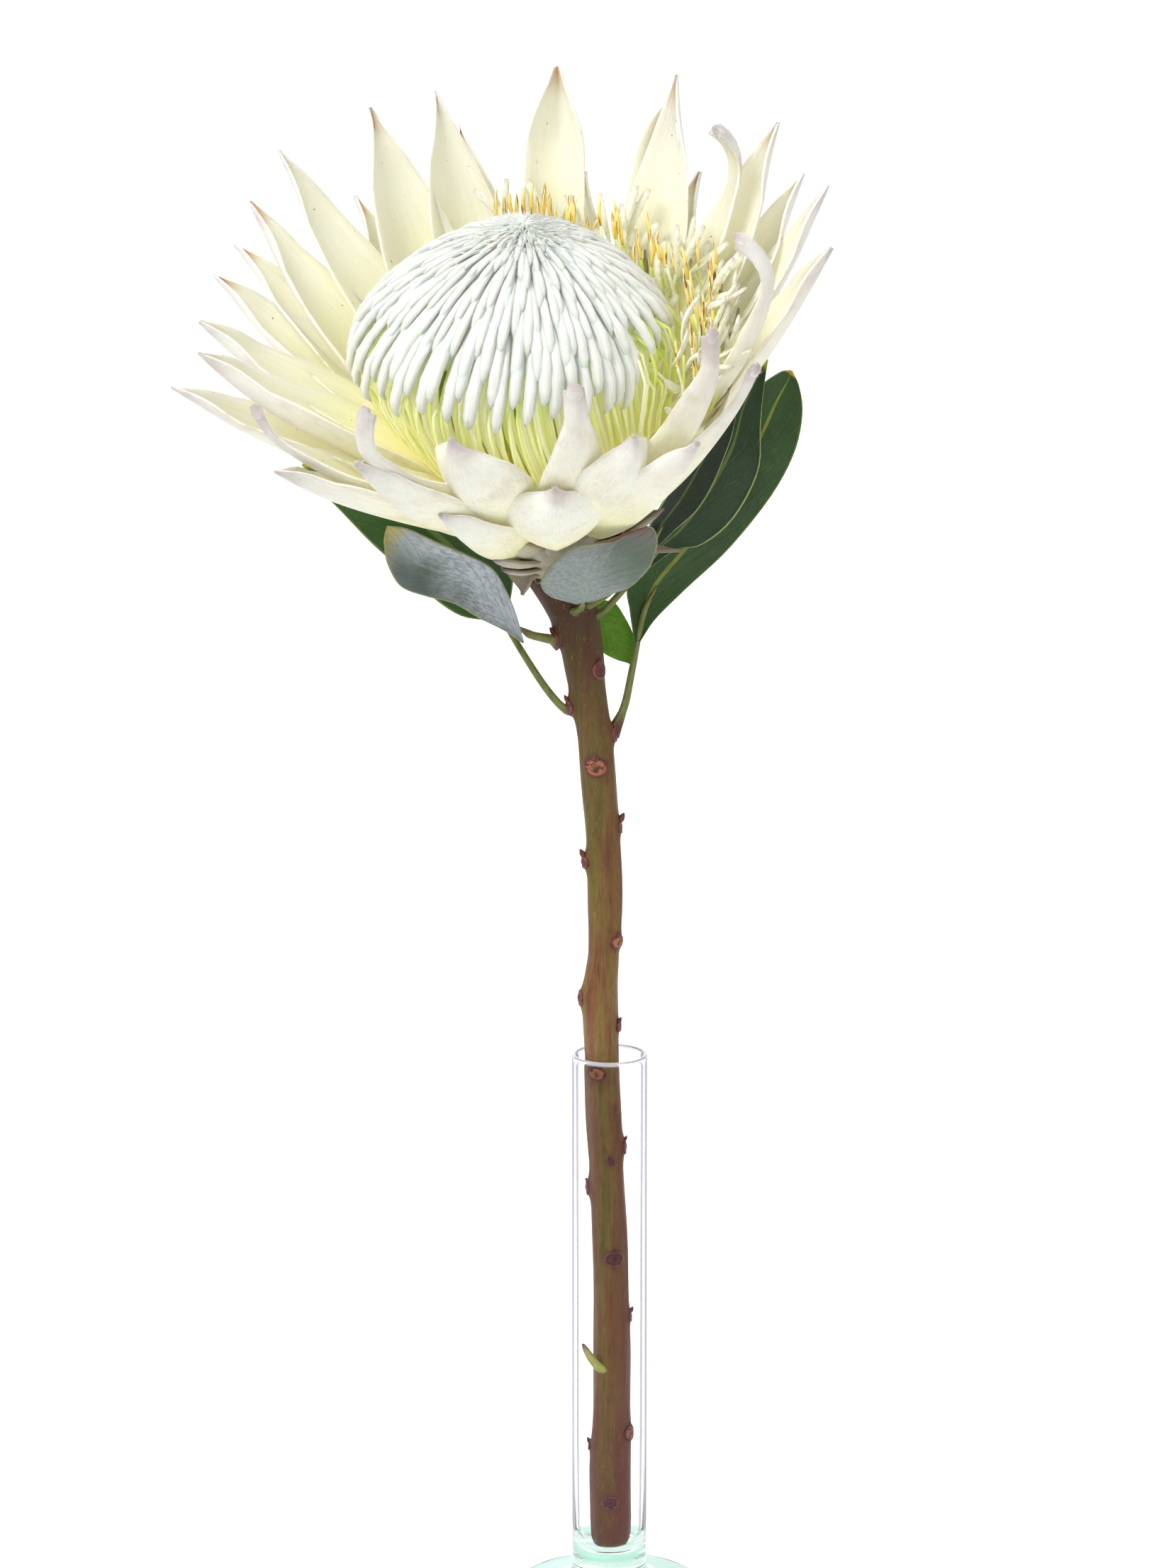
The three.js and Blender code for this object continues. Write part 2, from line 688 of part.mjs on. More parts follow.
// The stem's middle and radius at a height.
function stemAt(height) {
  let i = 0;
  while (i + 2 < STEM_ROUTE.length && STEM_ROUTE[i + 1][2] < height) i++;
  const share = (height - STEM_ROUTE[i][2]) / (STEM_ROUTE[i + 1][2] - STEM_ROUTE[i][2]);
  const middle = STEM_POINTS[i].clone().lerp(STEM_POINTS[i + 1], share);
  const radius = STEM_ROUTE[i][3] + share * (STEM_ROUTE[i + 1][3] - STEM_ROUTE[i][3]);
  return { middle, radius };
}

// The head's directions: its axis, and what is right and back on it.
function headFrame() {
  const tilt = HEAD_TILT * DEG;
  const lean = HEAD_LEAN * DEG;
  const axis = new THREE.Vector3(
    -Math.sin(lean),
    -Math.sin(tilt) * Math.cos(lean),
    Math.cos(tilt) * Math.cos(lean)
  ).normalize();
  const right = new THREE.Vector3(1, 0, 0).addScaledVector(axis, -axis.x).normalize();
  return { axis, right, back: new THREE.Vector3().crossVectors(axis, right) };
}

function stem() {
  const { axis } = headFrame();
  const top = new THREE.Vector3(...HEAD_BASE).addScaledVector(axis, -GAP);
  const route = STEM_POINTS.concat([top]);
  const radii = STEM_ROUTE.map((entry) => entry[3]).concat([NECK_RADIUS]);
  const pieces = [rod(route, radii, STEM_SIDES, axis)];
  for (const [height, turn, length, proud] of STEM_SCARS) {
    const { middle, radius } = stemAt(height);
    const pad = new THREE.SphereGeometry(1, 6, 3);
    pad.scale(length * 0.45, proud + SCAR_SINK, length * 0.5);
    pad.rotateZ((turn - 90) * DEG);
    pad.translate(...middle.addScaledVector(outward(turn), radius - SCAR_SINK).toArray());
    pieces.push(pad);
  }
  for (const [height, turn, length, proud] of STEM_BUDS) {
    const { middle, radius } = stemAt(height);
    const points = [
      [radius - SCAR_SINK, 0],
      [radius + proud * 0.5, length * 0.4],
      [radius + proud, length],
    ];
    const route = routeAt(turn, points).map((point) => point.add(middle));
    pieces.push(rod(route, [length * 0.3, length * 0.25, 0.5], 5));
  }
  return fuse(pieces);
}

// A leaf between its two edge lines, its midrib folded down, on its stalk.
function leaf({ stalk, edges, fold = LEAF_FOLD }) {
  const rows = edges.map((row) => {
    const left = new THREE.Vector3(...row.slice(0, 3));
    const right = new THREE.Vector3(...row.slice(3));
    return { left, right, middle: left.clone().lerp(right, 0.5) };
  });
  const last = rows.length - 1;
  const sheet = blade(2, last, () => LEAF_THICKNESS, (u, v) => {
    const j = Math.round(v * last);
    const { left, right } = rows[j];
    const along = rows[Math.min(j + 1, last)].middle.clone().sub(rows[Math.max(j - 1, 0)].middle);
    const side = right.clone().sub(left);
    const face = new THREE.Vector3().crossVectors(side, along).normalize();
    const spot = left.clone().lerp(right, (u + 1) / 2);
    return { point: spot.addScaledVector(face, fold * side.length() * (Math.abs(u) - 1)), face };
  });
  const route = stalk.map((point) => new THREE.Vector3(...point));
  route.push(rows[0].middle, rows[1].middle);
  const taper = (STALK_RADIUS - STALK_END_RADIUS) / (route.length - 1);
  const radii = route.map((_, i) => STALK_RADIUS - taper * i);
  return fuse([sheet, rod(route, radii, STALK_SIDES)]);
}

function material(colour, roughness) {
  return new THREE.MeshStandardMaterial({ color: colour, roughness, metalness: 0 });
}

function named(name, geometry, colour, roughness) {
  const mesh = new THREE.Mesh(geometry, material(colour, roughness));
  mesh.name = name;
  return mesh;
}

// The head's group: its Z is the head's axis and its X points right.
function head() {
  const { right, back, axis } = headFrame();
  const group = new THREE.Group();
  group.quaternion.setFromRotationMatrix(new THREE.Matrix4().makeBasis(right, back, axis));
  group.position.set(...HEAD_BASE);
  group.add(named("receptacle", receptacle(), 0x8f8577, 0.9));
  group.add(named("involucre", involucre(), 0xf1edd2, 0.7));
  return group;
}

function capInPlace() {
  const cap = named("white_cap", whiteCap(), 0xf4f6f2, 0.95);
  cap.rotation.x = CAP_TILT * DEG;
  cap.position.set(...CAP_MIDDLE);
  return cap;
}

const flower = new THREE.Group();
const glass = named("vase", vase(), 0xe8f2ee, 0.05);
glass.material.transparent = true;
glass.material.opacity = 0.35;
flower.add(glass);
flower.add(named("stem", stem(), 0x6d5a34, 0.75));
flower.add(head());
flower.add(named("styles", styles(), 0xd8d967, 0.6));
flower.add(capInPlace());
for (const [name, sizes] of Object.entries(LEAVES)) {
  flower.add(named(name, leaf(sizes), sizes.colour, 0.5));
}

export default flower;
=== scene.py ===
import math
from collections import namedtuple

import bpy
import numpy as np
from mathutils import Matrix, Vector


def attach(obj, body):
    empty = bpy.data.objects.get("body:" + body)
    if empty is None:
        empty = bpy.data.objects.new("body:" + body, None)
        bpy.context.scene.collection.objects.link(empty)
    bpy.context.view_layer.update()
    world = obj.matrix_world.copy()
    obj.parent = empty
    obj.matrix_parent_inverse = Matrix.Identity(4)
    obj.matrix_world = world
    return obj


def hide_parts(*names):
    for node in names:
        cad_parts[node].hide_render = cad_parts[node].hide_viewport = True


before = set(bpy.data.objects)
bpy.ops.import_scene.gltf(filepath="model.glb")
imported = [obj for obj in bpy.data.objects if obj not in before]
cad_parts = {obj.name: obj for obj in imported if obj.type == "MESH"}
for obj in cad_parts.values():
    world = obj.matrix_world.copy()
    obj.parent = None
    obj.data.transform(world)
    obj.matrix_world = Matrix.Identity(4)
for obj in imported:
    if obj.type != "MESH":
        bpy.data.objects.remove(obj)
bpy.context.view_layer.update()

# The flower's measures are in millimetres, as its maker took them. Meshes are made in metres.
MM = 0.001
BODY = "root"
UP = np.array((0.0, 0.0, 1.0))
RIGHT = np.array((1.0, 0.0, 0.0))

# The head: its base in the middle of the neck, tipped to the front and leaning a little to the left.
HEAD_BASE = np.array((-19.0, 6.0, 368.7))
HEAD_TILT = math.radians(20)
HEAD_LEAN = math.radians(4)
# The cap sits on the head a little askew: its middle, its own tilt, and how it slants to the right.
CAP_MIDDLE = np.array((-35.0, -21.3, 443.8))
CAP_TILT = math.radians(13.5)
CAP_SLANT = 0.12


def unit(vector):
    return vector / np.linalg.norm(vector)


def unit_rows(rows):
    return rows / np.maximum(np.linalg.norm(rows, axis=1), 1e-6)[:, None]


HEAD_AXIS = unit(np.array((
    -math.sin(HEAD_LEAN),
    -math.sin(HEAD_TILT) * math.cos(HEAD_LEAN),
    math.cos(HEAD_TILT) * math.cos(HEAD_LEAN),
)))
HEAD_RIGHT = unit(RIGHT - HEAD_AXIS * HEAD_AXIS[0])
HEAD_BACK = np.cross(HEAD_AXIS, HEAD_RIGHT)
CAP_BACK = np.array((0.0, math.cos(CAP_TILT), math.sin(CAP_TILT)))
CAP_AXIS = np.array((CAP_SLANT, -math.sin(CAP_TILT), math.cos(CAP_TILT)))


def from_head(points):
    """Points measured on the head (right, back, up its axis) become points of the whole object."""
    return points @ np.array((HEAD_RIGHT, HEAD_BACK, HEAD_AXIS)) + HEAD_BASE


def from_cap(points):
    """Points measured on the cap become points of the whole object."""
    return points @ np.array((RIGHT, CAP_BACK, CAP_AXIS)) + CAP_MIDDLE


def turned(turn, radius, height):
    """A point at a turn round an upright axis, in degrees."""
    angle = math.radians(turn)
    return np.array((radius * math.cos(angle), radius * math.sin(angle), height))


def around(turn):
    """The way onwards round an upright axis, at a turn in degrees."""
    return turned(turn + 90, 1, 0)


def between(turn, other, whole=360):
    """How far a turn lies onwards from another one, or backwards where that is shorter."""
    return (turn - other + whole / 2) % whole - whole / 2


# Lines.


def smooth_line(stations, count):
    """A smooth line through points: count + 1 points at even steps from station to station."""
    stations = np.array(stations, float)
    ends = np.concatenate(([2 * stations[0] - stations[1]], stations, [2 * stations[-1] - stations[-2]]))
    line = []
    for place in np.linspace(0, len(stations) - 1, count + 1):
        i = min(int(place), len(stations) - 2)
        t = place - i
        a, b, c, d = ends[i:i + 4]
        line.append(0.5 * (2 * b + (c - a) * t + (2 * a - 5 * b + 4 * c - d) * t**2
                           + (3 * b - a - 3 * c + d) * t**3))
    return np.array(line)


def read_at(places, values):
    """Values given at even steps from 0 to 1, read at other places."""
    return np.interp(places, np.linspace(0, 1, len(values)), values)


def read_rows(places, rows):
    """The same for rows of values."""
    return np.stack([read_at(places, column) for column in np.transpose(rows)], axis=1)


def laid_along(master, line, side, width, depth):
    """Bends a rod master along a line: its x goes towards side. width and depth are its half sizes at
    even steps from the start to the end of the line."""
    x, y, z = master[0].T
    tangent = unit_rows(np.gradient(line, axis=0))
    sides = unit_rows(side - tangent * (tangent @ side)[:, None])
    normals = np.cross(tangent, sides)
    return (read_rows(z, line) + read_rows(z, sides) * (x * read_at(z, width))[:, None]
            + read_rows(z, normals) * (y * read_at(z, depth))[:, None])


# Masters: each shape that repeats is modelled once, and its points and faces are taken for the copies.


def select_only(piece):
    bpy.ops.object.select_all(action="DESELECT")
    piece.select_set(True)
    bpy.context.view_layer.objects.active = piece


def settled():
    """The primitive that was just added, with its place moved into its mesh."""
    bpy.ops.object.transform_apply(location=True, rotation=True, scale=True)
    return bpy.context.object


def pick(piece, kind, chosen):
    """Opens a piece in edit mode with only the chosen edges or faces selected."""
    bpy.ops.object.mode_set(mode="EDIT")
    bpy.ops.mesh.select_mode(type=kind)
    bpy.ops.mesh.select_all(action="DESELECT")
    bpy.ops.object.mode_set(mode="OBJECT")
    for part in piece.data.edges if kind == "EDGE" else piece.data.polygons:
        part.select = chosen(part)
    bpy.ops.object.mode_set(mode="EDIT")


def points_of(piece):
    points = np.empty(len(piece.data.vertices) * 3)
    piece.data.vertices.foreach_get("co", points)
    return points.reshape(-1, 3)


def taken(piece):
    """A modelled master as its points and faces. The master itself is cleared away."""
    points = points_of(piece)
    faces = [tuple(face.vertices) for face in piece.data.polygons]
    bpy.data.objects.remove(piece)
    return points, faces


def sheet_master(across, along):
    """A flat sheet, with the place of each point across it (-1 to 1) and along it (0 to 1)."""
    bpy.ops.object.select_all(action="DESELECT")
    bpy.ops.mesh.primitive_grid_add(x_subdivisions=across, y_subdivisions=along, size=2)
    master = taken(bpy.context.object)
    return master, master[0][:, 0], (master[0][:, 1] + 1) / 2


def rod_master(sides, rings, finer=1):
    """A straight rod of radius 1 from height 0 to 1, cut into rings, and each of them into finer ones."""
    bpy.ops.object.select_all(action="DESELECT")
    bpy.ops.mesh.primitive_cylinder_add(vertices=sides, radius=1, depth=1, location=(0, 0, 0.5))
    rod = settled()

    def upright(edge):
        low, high = (rod.data.vertices[i].co.z for i in edge.vertices)
        return abs(high - low) > 0.001

    for pieces in (rings, finer):
        if pieces > 1:
            pick(rod, "EDGE", upright)
            bpy.ops.mesh.subdivide(number_cuts=pieces - 1)
            bpy.ops.object.mode_set(mode="OBJECT")
    return taken(rod)


def add_ball(segments, rings):
    bpy.ops.object.select_all(action="DESELECT")
    bpy.ops.mesh.primitive_uv_sphere_add(segments=segments, ring_count=rings, radius=1)
    return bpy.context.object


def ball_master(segments, rings):
    return taken(add_ball(segments, rings))


def ball_to_shape(segments, rings):
    """A ball, with each point's angle round its axis and its share of the way down."""
    ball = add_ball(segments, rings)
    x, y, z = points_of(ball).T
    return ball, np.arctan2(y, x), np.arccos(np.clip(z, -1, 1)) / math.pi


def hair_master():
    """A hair: a slim three-sided spike of length 1."""
    bpy.ops.object.select_all(action="DESELECT")
    bpy.ops.mesh.primitive_cone_add(vertices=3, radius1=1, radius2=0, depth=1, location=(0, 0, 0.5))
    return taken(settled())


def spike(hair, root, way, long, thick):
    """A hair's points: its root, its way, its length and its thickness."""
    first = unit(np.cross(way, (0.31, 0.9, 0.3)))
    second = np.cross(way, first)
    points = hair[0]
    return root + points @ np.array((first * thick, second * thick, way * long))


# Pieces: copies of masters become meshes, and a finished piece rides with the object.


def smoothed(piece):
    for polygon in piece.data.polygons:
        polygon.use_smooth = True
    return piece


def keep_mark(mesh, mark, values):
    """Keeps a value on each point of a mesh, for the materials to read."""
    attribute = mesh.attributes.new(mark, "FLOAT", "POINT")
    attribute.data.foreach_set("value", np.broadcast_to(values, len(mesh.vertices)).astype(np.float32))


def stamp(name, master, copies, **marks):
    """One piece out of placed copies of a master. copies: each copy's points, in millimetres. marks: a
    list has a value or an array for each copy, and anything else is the same for all of them."""
    count = len(master[0])
    mesh = bpy.data.meshes.new(name)
    faces = [tuple(i + k * count for i in face) for k in range(len(copies)) for face in master[1]]
    mesh.from_pydata((np.concatenate(copies) * MM).tolist(), [], faces)
    for mark, values in marks.items():
        each = values if isinstance(values, list) else [values] * len(copies)
        keep_mark(mesh, mark, np.concatenate([np.broadcast_to(value, count) for value in each]))
    piece = bpy.data.objects.new(name, mesh)
    bpy.context.scene.collection.objects.link(piece)
    return smoothed(piece)


def reshaped(piece, name, points, **marks):
    """Gives a primitive its name, its shape in millimetres and its marks."""
    piece.name = piece.data.name = name
    piece.data.vertices.foreach_set("co", (points * MM).ravel())
    for mark, values in marks.items():
        keep_mark(piece.data, mark, values)
    return piece


def thickened(piece, thickness, **settings):
    """Gives a sheet its thickness in millimetres, half of it to each side."""
    select_only(piece)
    modifier = piece.modifiers.new("thickness", "SOLIDIFY")
    modifier.thickness = thickness * MM
    modifier.offset = 0.0
    modifier.use_even_offset = False
    for key, value in settings.items():
        setattr(modifier, key, value)
    bpy.ops.object.modifier_apply(modifier=modifier.name)
    return piece


def joined(name, *pieces):
    """Several meshes as one piece."""
    select_only(pieces[0])
    for piece in pieces:
        piece.select_set(True)
    bpy.ops.object.join()
    pieces[0].name = pieces[0].data.name = name
    return pieces[0]


def finish_piece(piece, slot, nodes, *materials):
    """A finished piece: it rides with the object, stands for its nodes and wears its materials."""
    for material in materials:
        piece.data.materials.append(material)
    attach(piece, BODY)
    if nodes:
        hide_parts(*nodes)


# Materials.


class Paint:
    """A material of nodes. Its colour is laid on coat by coat."""

    def __init__(self, name, roughness, **sockets):
        self.material = bpy.data.materials.new(name)
        self.material.use_nodes = True
        self.tree = self.material.node_tree
        self.shader = self.tree.nodes["Principled BSDF"]
        self.colour = None
        self.shader.inputs["Roughness"].default_value = roughness
        for socket, value in sockets.items():
            self.shader.inputs[socket.replace("_", " ")].default_value = value

    def node(self, kind, inputs=None, **settings):
        node = self.tree.nodes.new(kind)
        for key, value in settings.items():
            setattr(node, key, value)
        for key, value in (inputs or {}).items():
            if isinstance(value, bpy.types.NodeSocket):
                self.tree.links.new(value, node.inputs[key])
            else:
                node.inputs[key].default_value = value
        return node

    def join(self, value, socket):
        self.tree.links.new(value, self.shader.inputs[socket])

    # Where: marks kept on the points, and places in the object.

    def mark(self, name):
        return self.node("ShaderNodeAttribute", attribute_name=name).outputs["Fac"]

    def place(self, stretch=(1, 1, 1)):
        """Object coordinates, squeezed or stretched."""
        coordinates = self.node("ShaderNodeTexCoord").outputs["Object"]
        return self.node("ShaderNodeMapping", {"Vector": coordinates, "Scale": stretch}).outputs["Vector"]

    def measured(self, axis):
        return self.node("ShaderNodeSeparateXYZ", {"Vector": self.place()}).outputs[axis]

    def grain_place(self, lengthwise, crosswise):
        """A place that follows the piece: its marks along and across, stretched, with its tone."""
        along = self.times(self.mark("along"), lengthwise)
        across = self.times(self.mark("across"), crosswise)
        tone = self.times(self.mark("tone"), 40.0)
        return self.node("ShaderNodeCombineXYZ", {"X": across, "Y": along, "Z": tone}).outputs["Vector"]

    # How much: sums, noises and slopes.

    def reckon(self, operation, first, second=0.0, clamp=False):
        node = self.node("ShaderNodeMath", {0: first, 1: second}, operation=operation)
        node.use_clamp = clamp
        return node.outputs["Value"]

    def times(self, first, second, clamp=False):
        return self.reckon("MULTIPLY", first, second, clamp)

    def plus(self, first, second):
        return self.reckon("ADD", first, second)

    def minus(self, first, second, clamp=False):
        return self.reckon("SUBTRACT", first, second, clamp)

    def noise(self, vector, scale, detail=3.0, roughness=0.55):
        inputs = {"Vector": vector, "Scale": scale, "Detail": detail, "Roughness": roughness}
        return self.node("ShaderNodeTexNoise", inputs).outputs["Fac"]

    def slope(self, factor, low, high):
        """0 below low, 1 above high, smooth between. It falls where low is above high."""
        node = self.node("ShaderNodeMapRange", {"Value": factor, "From Min": low, "From Max": high})
        node.interpolation_type = "SMOOTHSTEP"
        return node.outputs["Result"]

    # What colour.

    def ramp(self, factor, *stops):
        """A colour band: stops of (place, colour)."""
        node = self.node("ShaderNodeValToRGB", {"Fac": factor})
        elements = node.color_ramp.elements
        while len(elements) < len(stops):
            elements.new(0.5)
        for element, (place, colour) in zip(elements, stops):
            element.position = place
            element.color = (*colour, 1.0)
        return node.outputs["Color"]

    def mix(self, factor, first, second, blend="MIX"):
        node = self.node("ShaderNodeMix", {"Factor": factor}, data_type="RGBA", blend_type=blend)
        for key, value in (("A", first), ("B", second)):
            socket = next(s for s in node.inputs if s.name == key and s.type == "RGBA")
            if isinstance(value, bpy.types.NodeSocket):
                self.tree.links.new(value, socket)
            else:
                socket.default_value = (*value, 1.0)
        return next(s for s in node.outputs if s.type == "RGBA")

    def lay(self, colour, share, strength=1.0):
        """Lays a colour over what is there, as thickly as share says."""
        if strength < 1:
            share = self.times(share, strength)
        self.colour = self.mix(share, self.colour, colour)

    def stain(self, colour, share):
        """Darkens what is there by a colour, as much as share says."""
        self.colour = self.mix(share, self.colour, colour, "MULTIPLY")

    def glow(self, strength, colour=None):
        """Painted light: an emission glow of a colour, which stands in for light that comes through from
        the other side.
        """
        self.join(colour or self.colour, "Emission Color")
        self.shader.inputs["Emission Strength"].default_value = strength

    def finish(self, height=None, depth=0.0):
        """Joins the colour and the relief (its depth in millimetres) to the shader."""
        self.join(self.colour, "Base Color")
        if height is not None:
            bump = self.node("ShaderNodeBump", {"Height": height, "Distance": depth * MM, "Strength": 1.0})
            self.join(bump.outputs["Normal"], "Normal")
        return self.material


CREAM = (0.88, 0.85, 0.6)
IVORY = (0.88, 0.865, 0.72)
WARM_YELLOW = (0.92, 0.78, 0.28)
MAUVE = (0.56, 0.47, 0.46)
RUST = (0.48, 0.2, 0.08)
LIME = (0.8, 0.87, 0.42)
YELLOW = (0.95, 0.87, 0.42)
DARK = (0.0, 0.0, 0.0)


def bract_inside():
    """The waxy face towards the florets: yellow at the base, ivory above, with fine lengthwise veins."""
    paint = Paint("bract_inside", 0.45, Subsurface_Weight=0.35, Subsurface_Scale=0.004,
                  Subsurface_Radius=(1.0, 0.9, 0.5), Specular_IOR_Level=0.35)
    along = paint.mark("along")
    veins = paint.noise(paint.grain_place(2.2, 15.0), 1.6, 3.0)
    specks = paint.noise(paint.place(), 500.0, 1.0)
    paint.colour = paint.ramp(along, (0.08, WARM_YELLOW), (0.36, CREAM), (0.72, IVORY),
                              (1.0, (0.87, 0.86, 0.77)))
    paint.stain((0.965, 0.95, 0.85), paint.slope(veins, 0.35, 0.75))
    paint.lay(RUST, paint.times(paint.slope(along, 0.9, 1.0), paint.slope(paint.mark("tone"), 0.4, 1.0)))
    paint.lay((0.45, 0.25, 0.08), paint.slope(specks, 0.765, 0.8))
    # Painted light: a glow that is strongest at the base and fades to none at the tip.
    paint.glow(0.22, paint.mix(paint.slope(along, 0.85, 0.25), DARK, paint.colour))
    return paint.finish(veins, 0.25)


def bract_outside():
    """The silky face away from the florets: short white hairs, and a mauve woolly tip."""
    paint = Paint("bract_outside", 0.66, Sheen_Weight=0.2, Sheen_Roughness=0.4, Subsurface_Weight=0.2,
                  Subsurface_Scale=0.003, Specular_IOR_Level=0.3)
    along = paint.mark("along")
    silk = paint.noise(paint.grain_place(10.0, 46.0), 1.5, 5.0, 0.65)
    cloud = paint.noise(paint.place(), 70.0, 3.0)
    rough_tip = paint.plus(along, paint.times(cloud, 0.16))
    tint = paint.minus(1.0, paint.times(paint.mark("tone"), 0.95))
    paint.colour = paint.ramp(along, (0.06, (0.72, 0.68, 0.24)), (0.3, (0.92, 0.89, 0.52)),
                              (0.62, (0.94, 0.925, 0.76)), (1.0, (0.93, 0.91, 0.86)))
    paint.stain((0.88, 0.85, 0.83), paint.slope(cloud, 0.42, 0.75))
    paint.stain((0.8, 0.76, 0.73), paint.slope(silk, 0.5, 0.3))
    paint.lay((0.96, 0.95, 0.93), paint.slope(silk, 0.52, 0.75), 0.8)
    paint.lay(MAUVE, paint.times(paint.slope(rough_tip, 0.98, 1.13), tint))
    # Painted light: an even glow that brightens the silky face.
    paint.glow(0.08)
    return paint.finish(silk, 0.3)


def wool():
    """Closed florets: white woolly clubs, greyer in their seams and mint at their lower ends."""
    paint = Paint("white_wool", 0.85, Sheen_Weight=0.5, Subsurface_Weight=0.2, Subsurface_Scale=0.002)
    along = paint.mark("along")
    fibres = paint.noise(paint.grain_place(5.0, 16.0), 1.5, 4.0, 0.6)
    cloud = paint.noise(paint.place(), 130.0, 3.0)
    paint.colour = paint.ramp(along, (0.0, (0.74, 0.85, 0.6)), (0.25, (0.86, 0.92, 0.83)),
                              (0.5, (0.93, 0.93, 0.88)), (1.0, (0.92, 0.92, 0.88)))
    paint.lay((0.78, 0.81, 0.7), paint.slope(fibres, 0.6, 0.28))
    paint.lay((0.93, 0.94, 0.92), paint.slope(cloud, 0.5, 0.8))
    paint.lay((0.42, 0.27, 0.14), paint.times(paint.slope(along, 0.12, 0.02), paint.mark("brown")))
    # Painted light: a faint even glow over the wool.
    paint.glow(0.05)
    return paint.finish(fibres, 0.35)


def style_wax(name, low, high, glow=0.1):
    """Waxy styles: yellow at the base and lime above, some of them paler or greener."""
    paint = Paint(name, 0.4, Subsurface_Weight=0.3, Subsurface_Scale=0.002,
                  Subsurface_Radius=(1.0, 1.0, 0.3))
    tone = paint.mark("tone")
    grain = paint.noise(paint.grain_place(6.0, 6.0), 1.5, 3.0)
    middle = tuple((a + b) / 2 for a, b in zip(low, high))
    paint.colour = paint.ramp(paint.mark("along"), (0.05, low), (0.55, middle), (0.95, high))
    paint.lay((0.97, 0.95, 0.74), paint.slope(tone, 0.35, 0.7), 0.75)
    paint.stain((0.84, 0.9, 0.55), paint.slope(tone, 0.22, 0.0))
    paint.lay((0.96, 0.94, 0.72), paint.slope(grain, 0.55, 0.8))
    # Painted light: the strands glow in their own colour, as strongly as glow says.
    paint.glow(glow)
    return paint.finish(grain, 0.12)


def pollen():
    """Pollen presenters: yellow with orange, and black-brown streaks where the pollen has gone."""
    paint = Paint("pollen", 0.6)
    streaks = paint.noise(paint.grain_place(1.1, 1.4), 1.5, 2.0)
    paint.colour = paint.ramp(paint.mark("along"), (0.0, (0.5, 0.42, 0.08)), (0.12, (0.88, 0.6, 0.1)),
                              (0.45, (0.96, 0.72, 0.18)), (1.0, (0.96, 0.82, 0.42)))
    paint.lay((0.2, 0.1, 0.03), paint.slope(streaks, 0.54, 0.62))
    # Painted light: an even glow that brightens the presenters.
    paint.glow(0.12)
    return paint.finish(streaks, 0.1)


def strip_skin():
    """Opened perianth strips: pale, hairy and dry at their tips."""
    paint = Paint("strip_skin", 0.8, Sheen_Weight=0.4)
    fibres = paint.noise(paint.grain_place(5.0, 10.0), 2.0, 4.0)
    paint.colour = paint.ramp(paint.mark("along"), (0.0, (0.66, 0.68, 0.3)), (0.35, (0.86, 0.86, 0.66)),
                              (0.9, (0.92, 0.91, 0.84)), (1.0, (0.72, 0.66, 0.52)))
    paint.lay((0.68, 0.66, 0.44), paint.slope(fibres, 0.6, 0.3))
    # Painted light: an even glow that brightens the strips.
    paint.glow(0.12)
    return paint.finish(fibres, 0.2)


def scale_wool():
    """Scales under the head: green and cream at the root, silver-grey silk, brown edges and tips."""
    paint = Paint("scale_wool", 0.75, Sheen_Weight=0.25)
    silk = paint.noise(paint.grain_place(8.0, 30.0), 1.5, 5.0)
    cloud = paint.noise(paint.place(), 110.0, 3.0)
    side = paint.reckon("ABSOLUTE", paint.mark("across"))
    paint.colour = paint.ramp(paint.mark("along"), (0.1, (0.3, 0.3, 0.1)), (0.5, (0.52, 0.49, 0.32)),
                              (0.82, (0.46, 0.41, 0.37)), (1.0, (0.16, 0.1, 0.09)))
    paint.lay((0.2, 0.15, 0.1), paint.slope(paint.mark("tone"), 0.4, 0.8), 0.75)
    paint.lay((0.34, 0.27, 0.24), paint.slope(cloud, 0.5, 0.72))
    paint.lay((0.72, 0.7, 0.68), paint.slope(silk, 0.5, 0.78), 0.75)
    paint.lay((0.3, 0.2, 0.14), paint.slope(side, 0.88, 1.0), 0.6)
    return paint.finish(silk, 0.25)


def dry_skin():
    """Papery inner bracts, dried to straw with grey-brown folds."""
    paint = Paint("dry_skin", 0.75)
    folds = paint.noise(paint.grain_place(1.5, 9.0), 1.5, 4.0, 0.6)
    paint.colour = paint.ramp(folds, (0.3, (0.3, 0.22, 0.12)), (0.5, (0.62, 0.52, 0.3)),
                              (0.7, (0.78, 0.72, 0.52)))
    paint.lay((0.35, 0.28, 0.2), paint.slope(paint.mark("along"), 0.85, 1.0))
    return paint.finish(folds, 0.4)


